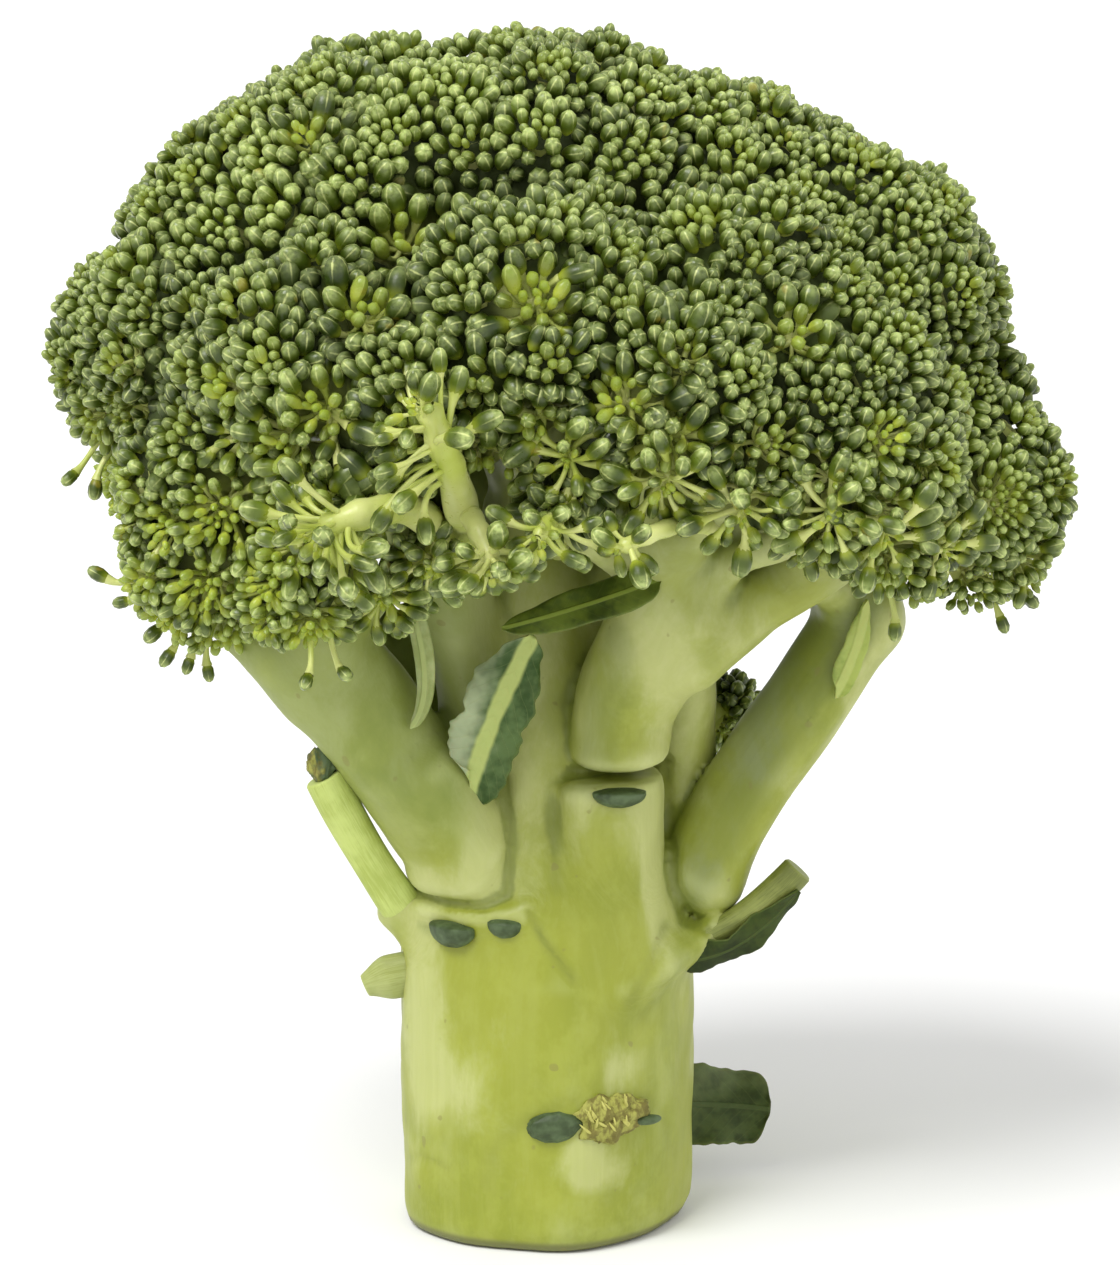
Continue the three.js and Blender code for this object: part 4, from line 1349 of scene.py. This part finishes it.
def leaf_piece(name, material):
    """A blade with both faces, waved and ragged along its edges and thickest over its rib."""
    rib, facing, (width, wave, ragged, slant), (start, middle, end) = LEAVES[name]
    STEPS, ACROSS = 64, 18
    t = np.linspace(0, 1, STEPS + 1)
    line = bow(rib, t)
    along = unit(np.gradient(line, axis=0))
    across = unit(np.cross(np.array(facing, float), along))
    out = np.cross(along, across)
    half = width / 2 * arc([[start]], [[2 * middle - (start + end) / 2]], [[end]], t)[0, :, 0]
    half = half * 0.97 * np.clip(1.04 - np.abs(2 * t - 1) ** 14, 0.25, 1)
    mixer = np.random.default_rng(len(name))
    share = np.linspace(-1, 1, ACROSS + 1)
    edge = [1 - ragged * 0.1 * (1 + notch(t, mixer, 5)) for _ in range(2)]
    reach = np.where(share[None] < 0, edge[0][:, None], edge[1][:, None]) * half[:, None]
    steps = np.arange(STEPS + 1) * 7 / STEPS
    lag = np.where(share > 0, 1.5, 0)
    sway = wave * share[None] ** 2 * np.sin(steps[:, None] * 1.9 + lag[None])
    rib_rise = 0.32 * np.exp(-((share * half[:, None] / 0.9) ** 2))
    thick = BLADE / 2 * np.sqrt(np.clip(1.02 - share[None] ** 6, 0.04, 1)) * 0.9
    grid = line[:, None] + across[:, None] * (share[None, :, None] * reach[..., None])
    grid = grid + along[:, None] * (slant * (1 - t) ** 2)[:, None, None] * share[None, :, None]
    front = grid + out[:, None] * (sway + thick + rib_rise * 0.3)[..., None]
    back = grid + out[:, None] * (sway - thick - rib_rise)[..., None]
    rows, columns = STEPS + 1, ACROSS + 1
    size = rows * columns
    sheet = strips(rows, columns, closed=False)
    points = np.concatenate([front.reshape(-1, 3), back.reshape(-1, 3)])
    number = np.arange(size).reshape(rows, columns)
    rim = np.concatenate([number[0], number[1:, -1], number[-1, -2::-1], number[-2:0:-1, 0]])
    after = np.roll(rim, -1)
    wall = np.concatenate(
        [np.stack([rim, rim + size, after], 1), np.stack([after, rim + size, after + size], 1)]
    )
    skin = Skin()
    offset = share[None] * half[:, None]
    long = t[:, None] * np.linalg.norm(np.subtract(rib[2], rib[0])) + np.abs(offset)
    place = triples((rows, columns), t[:, None], share[None], long)
    front_sort, back_sort = (triples((rows, columns), offset, side) for side in (0, 1))
    triangles = np.concatenate([sheet, sheet[:, ::-1] + size, wall])
    skin.add(points, triangles, np.tile(place, (2, 1)), np.concatenate([front_sort, back_sort]))
    dress(skin, f"{name}_blade", material, "leaf", name, closed=True)


def notch(t, mixer, waves):
    """An uneven edge along a blade: a few soft bays and some finer teeth."""
    total = 0.7 * np.sin(2 * math.pi * (waves * 0.5 * t + mixer.uniform(0, 1)))
    total = total + 0.45 * np.sin(2 * math.pi * (waves * t**1.3 + mixer.uniform(0, 1)))
    total = total + 0.3 * np.sin(2 * math.pi * (waves * 2.3 * t**0.8 + mixer.uniform(0, 1)))
    return np.clip(total, -1, 1.4)


# Path (three points), width, thickness.
LEAF_STALKS = {
    "leaf_stalk_left": ([(-20, -9, 49), (-27.5, -11.5, 60.5), (-35, -14.5, 76)], 7, 4.6),
    "leaf_stalk_left_low": ([(-19, -6, 42), (-24, -6, 42), (-29, -6, 40)], 5, 7.8),
    "leaf_stalk_right": ([(18, -8, 45), (30.5, -8, 48.5), (40.5, -8, 59.5)], 6.2, 5.4),
}


def leaf_stalk_piece(name, material):
    """A trimmed leaf stalk: flattened and cut square at its end."""
    curve, width, thick = LEAF_STALKS[name]
    STEPS, SIDES = 40, 28
    t = np.linspace(0, 1, STEPS + 1)
    middle = bow(curve, t)
    along = unit(np.gradient(middle, axis=0))
    across = np.empty_like(along)
    side = unit(np.array([1, 0.2, 0.1]))
    for i, heading in enumerate(along):
        side = unit(side - heading * (side @ heading))
        across[i] = side
    other = np.cross(along, across)
    angle = 2 * math.pi * np.arange(SIDES) / SIDES
    x = np.cos(angle)
    y = np.sin(angle) * thick / width
    swell = 1 + 0.03 * np.sin(t * 9)[:, None] + 0.025 * np.cos(3 * angle + 5 * t[:, None])
    swell = swell * (1 - 0.05 * t[:, None])
    if name == "leaf_stalk_left_low":
        swell = swell * (1.04 + 0.16 * np.sin(math.pi * t) - 0.42 * smooth(t, 0.6, 1.05))[:, None]
    ring = middle[:, None] + (width / 2 - 0.12) * swell[..., None] * (
        across[:, None] * x[None, :, None] + other[:, None] * y[None, :, None]
    )
    ends = []
    for end, shrink, push in ((0, 0.55, 0), (STEPS, 0.9, 0.35), (STEPS, 0.5, 0.25)):
        ends.append(mix(middle[end], ring[end], shrink) + along[end] * push * (1 if end else -1))
    rings = np.concatenate([ends[0][None], ring, ends[1][None], ends[2][None]])
    count = len(rings)
    skin = Skin()
    tips = np.stack([middle[0], middle[-1] + along[-1] * 0.15])
    points = np.concatenate([rings.reshape(-1, 3), tips])
    k = np.arange(SIDES)
    after = (k + 1) % SIDES
    first, last = count * SIDES, (count - 1) * SIDES
    caps = np.concatenate(
        [
            np.stack([after, k, np.full(SIDES, first)], 1),
            np.stack([last + k, last + after, np.full(SIDES, first + 1)], 1),
        ]
    )
    place = np.zeros((len(points), 3))
    place[:-2, 0] = np.repeat(np.clip((np.arange(count) - 1) / STEPS, 0, 1), SIDES)
    place[:-2, 1] = np.tile(angle / (2 * math.pi) * 4, count)
    place[:, 2] = points @ np.array([0.02, 0.05, 0.1])
    sort = np.zeros((len(points), 3))
    sort[-2 * SIDES - 2 :, 0] = 1
    skin.add(points, np.concatenate([strips(count, SIDES, closed=True), caps]), place, sort)
    dress(skin, f"{name}_dressed", material, "leaf_stalk", name, closed=True)


# Middle, three half sizes, turn about Z in degrees, how much lower its upper half is.
SCRAPS = {
    "scrap_left_stub": ((-35.5, -14.5, 78.4), (2.6, 2.4, 3.2), 0, 1.0),
    "scrap_left_ledge": ((-14.8, -17.6, 52.6), (4.6, 2.7, 3.4), -42, 0.3),
    "scrap_left_ledge_small": ((-6.4, -21.6, 54.2), (2.9, 2.2, 2.5), -16, 0.35),
    "scrap_right_ledge": ((11.7, -19.6, 74.8), (4.4, 2.6, 2.4), 10, 0.3),
}
SCAR = ((10.2, -21.2, 22.5), (7, 2.9, 4.4), 26)
SCAR_FLAP = ((1.2, -23.9, 21.6), (4.7, 2.1, 3.0), 8)


def lump(at, half, turn, lumps, squash):
    """Points and triangles of a rounded lump, its upper half squashed."""
    ROWS, COLUMNS = 30, 44
    x_axis, y_axis, z_axis = np.eye(3)
    ways = globe(ROWS, COLUMNS, z_axis, x_axis, y_axis)
    local = ways * np.array(half) * np.reshape(lumps(ways), (-1, 1))
    local[:, 2] *= np.where(local[:, 2] > 0, squash, 1)
    return turned(local, turn) + at, strips(ROWS, COLUMNS, closed=True), ways


def add_lump(skin, *shape, squash=1.0, green=1.0):
    points, triangles, ways = lump(*shape, squash)
    skin.add(points, triangles, ways, triples([len(ways)], green))


def scrap_piece(name, material):
    """A torn remnant of a leaf that lies on the stalk or on a cut end."""
    at, half, turn, squash = SCRAPS[name]
    torn = name == "scrap_left_stub"
    deep = 0.34 if torn else 0.05
    skin = Skin()

    def lumps(ways):
        return 1 - deep * np.abs(waver(ways * [1, 1, 0.6], 0.7, len(name)))

    add_lump(skin, at, half, turn, lumps, squash=squash, green=0.5 if torn else 1.0)
    dress(skin, f"{name}_dressed", material, "scar" if torn else "leaf", name, closed=True)


def scar_piece(material):
    """The leaf scar: a torn brown patch with pale strands, and a green flap on its left."""
    skin = Skin()

    def ragged(ways):
        turn = np.arctan2(ways[:, 2], ways[:, 0])
        edge = 0.09 * np.sin(3 * turn + 1) + 0.06 * np.sin(7 * turn) + 0.04 * np.sin(13 * turn + 2)
        return 0.96 + edge - 0.1 * np.abs(waver(ways * [1, 1, 0.4], 0.3, 3))

    add_lump(skin, *SCAR, ragged, green=0.0)

    def flapped(ways):
        point = 0.2 * smooth(ways[:, 0] + ways[:, 2] * 0.7, 0.2, 1.2)
        return 0.92 + point - 0.07 * np.abs(waver(ways, 0.8, 4))

    add_lump(skin, *SCAR_FLAP, flapped, squash=0.85)
    at, half, turn = (np.array(v, float) for v in SCAR)
    add_lump(skin, (16.4, -19.6, 21.4), (2.4, 1.1, 0.8), 30, lambda ways: 1)
    for _ in range(20):
        x, z = rng.uniform(-0.72, 0.3), rng.uniform(-0.4, 0.7)
        out = math.sqrt(max(0, 1 - x * x - z * z))
        local = np.array([x * half[0], -out * half[1] * 0.86, z * half[2]])
        foot = at + turned(local, turn)
        lean = np.array([rng.uniform(-1.4, 0.3), -0.5, rng.uniform(0.6, 1.6)])
        start = foot - unit(lean) * 0.6
        bend = foot + unit(lean) * 0.8 + [0, -0.5, 0]
        end = foot + unit(lean) * rng.uniform(1.2, 2.0)
        path = bow([start, bend, end], np.linspace(0, 1, 5))
        radii = np.array([[0.2, 0.26, 0.22, 0.16, 0.06]]) * rng.uniform(0.8, 1.2)
        add_stems(skin, path[None], radii, sides=6)
    dress(skin, "leaf_scar_dressed", material, "scar", "leaf_scar", closed=True)


# ---- Finishes -----------------------------------------------------------------------------------


def rgb(red, green, blue):
    """A colour from its three values out of 255, as a screen shows them."""
    share = [v / 255 for v in (red, green, blue)]
    return (*(v / 12.92 if v <= 0.04045 else ((v + 0.055) / 1.055) ** 2.4 for v in share), 1.0)


class Value:
    """A number that varies over a surface; sums and products add the nodes that work them out."""

    def __init__(self, finish, socket):
        self.finish, self.socket = finish, socket

    def math(self, operation, *operands):
        sockets = dict(enumerate(operands))
        return self.finish.node("ShaderNodeMath", {"operation": operation}, sockets)[0]

    def __add__(self, other):
        return self.math("ADD", self, other)

    def __sub__(self, other):
        return self.math("SUBTRACT", self, other)

    def __rsub__(self, other):
        return self.math("SUBTRACT", other, self)

    def __mul__(self, other):
        return self.math("MULTIPLY", self, other)

    def __truediv__(self, other):
        return self.math("DIVIDE", self, other)

    def __abs__(self):
        return self.math("ABSOLUTE", self)

    __radd__ = __add__
    __rmul__ = __mul__

    def part(self):
        return self.math("FRACT", self)

    def rise(self, low, high):
        """0 below low, 1 above high, and a smooth rise between; high may be under low."""
        settings = {"interpolation_type": "SMOOTHSTEP"}
        if low > high:
            return 1 - self.rise(high, low)
        return self.finish.node("ShaderNodeMapRange", settings, {0: self, 1: low, 2: high})[0]


class Finish:
    """A material under construction: a principled shader with what is wired to it."""

    def __init__(self, name, **constants):
        self.material = bpy.data.materials.new(name)
        self.material.use_nodes = True
        self.tree = self.material.node_tree
        self.tree.nodes.clear()
        self.shader = self.tree.nodes.new("ShaderNodeBsdfPrincipled")
        output = self.tree.nodes.new("ShaderNodeOutputMaterial")
        self.tree.links.new(self.shader.outputs[0], output.inputs[0])
        for label, value in constants.items():
            self.shader.inputs[label.replace("_", " ")].default_value = value

    def node(self, kind, settings, sockets):
        """A node of a kind: its settings first, then a value or a link for each socket."""
        node = self.tree.nodes.new(kind)
        for key, value in settings.items():
            setattr(node, key, value)
        for key, value in sockets.items():
            self.feed(node.inputs[key], value)
        return [Value(self, socket) for socket in node.outputs]

    def feed(self, socket, value):
        if isinstance(value, Value):
            self.tree.links.new(value.socket, socket)
        else:
            socket.default_value = value

    def wire(self, **inputs):
        for label, value in inputs.items():
            self.feed(self.shader.inputs[label.replace("_", " ")], value)

    def marks(self, label):
        """The three numbers that each point carries under a label."""
        return self.node("ShaderNodeSeparateXYZ", {}, {0: self.vector(label)})

    def vector(self, label):
        return self.node("ShaderNodeAttribute", {"attribute_name": label}, {})[1]

    def position(self):
        return self.node("ShaderNodeTexCoord", {}, {})[3]

    def scaled(self, vector, by):
        return self.node("ShaderNodeVectorMath", {"operation": "MULTIPLY"}, {0: vector, 1: by})[0]

    def noise(self, vector, scale, detail, roughness=0.55, distortion=0.0):
        sockets = {
            "Vector": vector,
            "Scale": scale,
            "Detail": detail,
            "Roughness": roughness,
            "Distortion": distortion,
        }
        return self.node("ShaderNodeTexNoise", {}, sockets)[0]

    def blend(self, share, first, second):
        """From the first colour to the second by share."""
        return self.node("ShaderNodeMix", {"data_type": "RGBA"}, {0: share, 6: first, 7: second})[2]

    def bump(self, height, strength, distance):
        sockets = {"Strength": strength, "Distance": distance, "Height": height}
        return self.node("ShaderNodeBump", {}, sockets)[0]


def bud_finish():
    """Green flower buds: grey-blue wax bloom and pale sepal seams, partly painted highlight; pale
    stems; painted shade deep down.
    """
    f = Finish(
        "buds_waxy_green",
        Subsurface_Weight=0.06,
        Subsurface_Radius=(0.5, 1.0, 0.25),
        Subsurface_Scale=0.001,
        Specular_IOR_Level=0.45,
    )
    along, around, tint = f.marks("place")
    youth, stem, shade_depth = f.marks("sort")
    here = f.position()
    patches = f.noise(here, 42, detail=2).rise(0.35, 0.68)
    mottle = f.noise(here, 900, detail=2).rise(0.3, 0.7)
    body = f.blend(tint * 0.7 + patches * 0.3, rgb(40, 57, 8), rgb(101, 120, 28))
    streak = f.noise(f.scaled(here, (1, 1, 0.6)), 420, detail=2).rise(0.35, 0.7)
    body = f.blend(streak * 0.35, body, rgb(34, 46, 8))
    # Partly the buds' real wax bloom, partly a painted highlight on their tips.
    bloom = along.rise(0.5, 1.0) * (0.2 + mottle * 0.72) * (0.42 + tint * 0.7)
    body = f.blend(bloom, body, rgb(192, 208, 126))
    body = f.blend(along.rise(0.42, 0.0) * 0.9, body, rgb(158, 170, 50))
    # Pale sepal margins, partly real and partly a painted highlight on the buds' tips.
    seam_gap = abs((around + 0.5).part() - 0.5)
    width = 0.035 + along * along * along * 0.12
    seam = (1 - (seam_gap / width).rise(0.2, 1.1)) * along.rise(0.3, 0.85) * (0.28 + mottle * 0.5)
    body = f.blend(seam, body, rgb(214, 220, 144))
    young = f.blend(along.rise(0.2, 0.9), rgb(198, 208, 82), rgb(142, 160, 54))
    body = f.blend(youth.rise(0, 0.8), body, young)
    spotted = f.noise(here, 260, detail=1).rise(0.72, 0.79) * 0.55
    body = f.blend(spotted, body, rgb(148, 134, 44))
    paler = f.noise(here, 120, detail=2).rise(0.3, 0.7)
    stem_colour = f.blend(paler, rgb(178, 190, 84), rgb(212, 217, 138))
    colour = f.blend(stem, body, stem_colour)
    # Painted shade: points that lie deep in the crown take this dark green.
    deep = f.blend(patches, rgb(44, 54, 12), rgb(64, 78, 24))
    painted_shade = shade_depth.rise(0.55, 1.0)
    colour = f.blend(painted_shade, colour, deep)
    ridges = f.noise(here, 1400, detail=2)
    f.wire(
        Base_Color=colour,
        Roughness=0.27 + mottle * 0.16 - youth * 0.04 + painted_shade * 0.5,
        Normal=f.bump(ridges + mottle * 0.5, 0.35, 0.00012),
    )
    return f.material


def stalk_finish():
    """Yellow-green stalk skin under a whitish bloom, rubbed off in patches with ragged edges."""
    f = Finish(
        "stalk_skin",
        Subsurface_Weight=0.25,
        Subsurface_Radius=(0.8, 1.0, 0.35),
        Subsurface_Scale=0.003,
        Specular_IOR_Level=0.45,
    )
    grain = f.vector("place")
    worn, round_, lined = f.marks("sort")
    shaded = f.node("ShaderNodeAttribute", {"attribute_name": "shaded"}, {})[2]
    here = f.position()
    streaks = f.noise(f.scaled(grain, (1.6, 1.6, 0.16)), 2.2, detail=4, roughness=0.6)
    fibres = f.noise(f.scaled(grain, (1, 1, 0.04)), 9, detail=3)
    broad = f.noise(here, 26, detail=3, distortion=0.6)
    cloud = f.noise(f.scaled(here, (1, 1, 0.6)), 90, detail=5, roughness=0.65, distortion=0.4)
    green = f.blend(broad.rise(0.35, 0.65), rgb(148, 155, 46), rgb(130, 141, 32))
    mottle = f.noise(f.scaled(here, (1, 1, 0.7)), 130, detail=4, roughness=0.7)
    green = f.blend(mottle.rise(0.42, 0.66) * 0.5, green, rgb(162, 169, 68))
    green = f.blend(streaks.rise(0.42, 0.7) * 0.4, green, rgb(156, 163, 68))
    # Painted shade: the stalk's skin darker and greyer where shade falls, from the shaded
    # attribute.
    green = f.blend(shaded * 0.5, green, rgb(108, 120, 42))
    pale = f.blend(fibres.rise(0.3, 0.7) * 0.5, rgb(180, 185, 116), rgb(171, 177, 102))
    pale = f.blend(shaded * 0.85, pale, rgb(122, 133, 82))
    ragged = worn + (cloud - 0.5) * 1.5 + (broad - 0.5) * 0.7 + (mottle - 0.5) * 0.5
    bare = ragged.rise(0.16, 0.74)
    skin = f.blend(bare, pale, green)
    x, _, low = f.node("ShaderNodeSeparateXYZ", {}, {0: here})[:3]
    # Painted shade: the left branch darker high up, under the crown.
    painted_shade_left = x.rise(-0.006, -0.016) * low.rise(0.058, 0.075) * 0.5
    skin = f.blend(painted_shade_left, skin, rgb(112, 130, 62))
    film = (broad * 0.5 + cloud * 0.5).rise(0.5, 0.64) * 0.35
    colour = f.blend(film, skin, pale)
    # Painted highlight: a pale edge where the skin stands proud.
    rim = round_.rise(0.12, 0.42)
    colour = f.blend(rim * 0.4, colour, rgb(196, 202, 140))
    # Painted shade: darker green in the creases.
    crease = round_.rise(-0.05, -0.32)
    colour = f.blend(crease * 0.5, colour, rgb(98, 112, 36))
    # Painted shade along the fine grooves.
    colour = f.blend(lined * 0.5, colour, rgb(118, 126, 44))
    colour = f.blend(low.rise(0.0024, 0.0012) * 0.85, colour, rgb(98, 100, 46))
    specks = f.noise(here, 330, detail=1).rise(0.735, 0.775) * 0.5
    colour = f.blend(specks, colour, rgb(128, 124, 62))
    f.wire(
        Base_Color=colour,
        Roughness=0.5 - bare * 0.12 + cloud * 0.12,
        Normal=f.bump(fibres * 0.25 + cloud * 0.6 + streaks * 0.3 - bare * 0.2, 0.4, 0.0005),
    )
    return f.material


# Dark and light green of the blade, colour of its rib, the rib's half width, how much grey bloom,
# how plain its side veins are.
LEAF_LOOKS = {
    "leaf_narrow": ((52, 66, 10), (84, 99, 22), (116, 132, 46), 0.35, 0.0, 0.04),
    "leaf_broad": ((52, 76, 30), (86, 108, 60), (172, 184, 104), 1.5, 0.7, 0.12),
    "leaf_strip": ((140, 152, 88), (166, 176, 118), (160, 172, 104), 0.5, 0.3, 0.0),
    "leaf_sliver": ((132, 150, 62), (164, 178, 88), (176, 186, 104), 0.8, 0.1, 0.05),
    "leaf_right": ((36, 48, 14), (58, 72, 24), (60, 74, 26), 0.3, 0.0, 0.0),
    "leaf_low": ((48, 60, 26), (74, 88, 44), (70, 84, 42), 0.5, 0.15, 0.07),
}


def leaf_finish(name):
    """Green blade with a pale midrib, fine side veins and a grey bloom, thicker on one side."""
    dark, light, rib_colour, rib_half, grey, veined = LEAF_LOOKS[name]
    f = Finish(
        f"{name}_skin",
        Subsurface_Weight=0.12,
        Subsurface_Scale=0.001,
        Specular_IOR_Level=0.22,
    )
    along, across, slant = f.marks("place")
    offset, back, _ = f.marks("sort")
    here = f.position()
    cloud = f.noise(here, 140, detail=3)
    fine = f.noise(here, 700, detail=2)
    blade = f.blend((cloud * 0.7 + fine * 0.3).rise(0.38, 0.6), rgb(*dark), rgb(*light))
    bloom = (0.45 + across * 0.5 - along * 0.4 + (cloud - 0.5) * 1.2).rise(0.2, 0.75)
    blade = f.blend((bloom * 0.9 + back * 0.3) * grey, blade, rgb(186, 196, 156))
    vein_gap = abs((slant * 0.4).part() - 0.5)
    veins = vein_gap.rise(0.06, 0.0) * veined
    colour = f.blend(veins, blade, rgb(150, 164, 100))
    rib = abs(offset).rise(rib_half * 1.25, rib_half * 0.7)
    ribbed = rib * 0.9
    rib_skin = f.blend(fine, rgb(*rib_colour), rgb(*(v + 10 for v in rib_colour)))
    colour = f.blend(ribbed, colour, rib_skin)
    edge = abs(across).rise(0.9, 1.0)
    colour = f.blend(edge * 0.25, colour, rgb(140, 156, 84))
    f.wire(
        Base_Color=colour,
        Roughness=0.48 + cloud * 0.2 + bloom * 0.1,
        Normal=f.bump(rib * 0.5 + veins + cloud, 0.7, 0.0004),
    )
    return f.material


def scrap_finish():
    """Leaf remnants: dark green skin with a grey bloom, brown torn tissue and pale strands."""
    f = Finish("leaf_remnant", Specular_IOR_Level=0.4)
    here = f.position()
    green, strand, _ = f.marks("sort")
    cloud = f.noise(here, 420, detail=3)
    fibres = f.noise(f.scaled(here, (1, 1, 0.35)), 800, detail=4, roughness=0.65)
    skin = f.blend(cloud.rise(0.3, 0.7), rgb(52, 68, 34), rgb(84, 102, 66))
    torn = f.blend(fibres.rise(0.35, 0.65), rgb(124, 120, 54), rgb(164, 164, 80))
    torn = f.blend(fibres.rise(0.6, 0.42) * 0.5, torn, rgb(100, 88, 40))
    colour = f.blend((green + (cloud - 0.5) * 0.8).rise(0.42, 0.58), torn, skin)
    colour = f.blend(strand, colour, f.blend(fibres, rgb(176, 172, 84), rgb(204, 202, 116)))
    f.wire(
        Base_Color=colour,
        Roughness=0.68 - green * 0.24 + cloud * 0.15,
        Normal=f.bump(cloud * 0.5 + fibres * (1.2 - green), 0.6, 0.0005),
    )
    return f.material


STUB_TONES = {
    "leaf_stalk_left": ((164, 178, 82), (186, 200, 110)),
    "leaf_stalk_left_low": ((146, 154, 78), (170, 178, 108)),
    "leaf_stalk_right": ((106, 114, 46), (138, 146, 70)),
}


def cut_stalk_finish(name):
    """A trimmed leaf stalk: green skin, paler where it is cut."""
    deep, light = STUB_TONES[name]
    f = Finish(
        f"{name}_skin",
        Subsurface_Weight=0.2,
        Subsurface_Radius=(0.8, 1.0, 0.35),
        Subsurface_Scale=0.002,
        Specular_IOR_Level=0.5,
    )
    here = f.position()
    cut = f.marks("sort")[0]
    lines = f.noise(f.scaled(f.vector("place"), (0.3, 6, 1)), 4, detail=3)
    cloud = f.noise(here, 160, detail=3)
    colour = f.blend((lines * 0.5 + cloud * 0.5).rise(0.38, 0.62), rgb(*deep), rgb(*light))
    colour = f.blend(cloud.rise(0.5, 0.7) * 0.3, colour, rgb(*(v + 12 for v in light)))
    colour = f.blend(cut * 0.6, colour, rgb(*(v + 16 for v in light)))
    f.wire(
        Base_Color=colour,
        Roughness=0.4 + cloud * 0.2,
        Normal=f.bump(lines + cloud * 0.6, 0.25, 0.0004),
    )
    return f.material


def floor_finish():
    f = Finish("pale_floor", Specular_IOR_Level=0.2)
    tone = f.noise(f.position(), 3, detail=2)
    colour = f.blend(tone, rgb(244, 244, 243), rgb(247, 247, 247))
    f.wire(Base_Color=colour, Roughness=0.75 + tone * 0.05)
    return f.material


# ---- Setting ------------------------------------------------------------------------------------

LOOK_AT = np.array([2.3, 0, 97]) * MM
DISTANCE = 0.66
ELEVATION = math.radians(10)
LENS = 116.45
FLOOR_HALF = 16.0


def add_camera():
    camera = linked("camera", bpy.data.cameras.new("camera"))
    camera.data.lens = LENS
    camera.data.sensor_fit = "AUTO"
    camera.data.sensor_width = 36
    camera.data.clip_start = 0.02
    back = np.array([0, -math.cos(ELEVATION), math.sin(ELEVATION)])
    camera.location = LOOK_AT + DISTANCE * back
    camera.rotation_euler = (math.pi / 2 - ELEVATION, 0, 0)
    bpy.context.scene.camera = camera


def add_light(name, at, softness, strength):
    """A far light that shines from at towards the head, softness degrees across."""
    light = bpy.data.lights.new(name, "SUN")
    light.angle = math.radians(softness)
    light.energy = strength
    lamp = linked(name, light)
    lamp.location = at
    way = unit(LOOK_AT - np.array(at))
    lamp.rotation_euler = (math.acos(-way[2]), 0, math.atan2(way[1], way[0]) - math.pi / 2)


def add_floor():
    mesh = bpy.data.meshes.new("floor")
    corners = [(-1, -1), (1, -1), (1, 1), (-1, 1)]
    mesh.from_pydata([(x * FLOOR_HALF, y * FLOOR_HALF, 0) for x, y in corners], [], [(0, 1, 2, 3)])
    mesh.materials.append(floor_finish())
    linked("floor", mesh)


def add_world():
    world = bpy.data.worlds.new("studio")
    world.use_nodes = True
    background = world.node_tree.nodes["Background"]
    background.inputs[0].default_value = (1, 1, 1, 1)
    background.inputs[1].default_value = 0.75
    bpy.context.scene.world = world


add_camera()
add_floor()
add_world()
add_light("key", (-0.45, -0.6, 1.1), 28, 2.25)
add_light("fill", (0.9, -0.8, 0.5), 60, 0.5)
bpy.context.scene.view_settings.view_transform = "Standard"

buds = bud_finish()
crown_pieces(buds)
stalk_piece(stalk_finish())
for name in SHOOTS:
    shoot_piece(name, buds)
rim_fans_piece(buds)
for name in LEAVES:
    leaf_piece(name, leaf_finish(name))
for name in LEAF_STALKS:
    leaf_stalk_piece(name, cut_stalk_finish(name))
remnants = scrap_finish()
for name in SCRAPS:
    scrap_piece(name, remnants)
scar_piece(remnants)
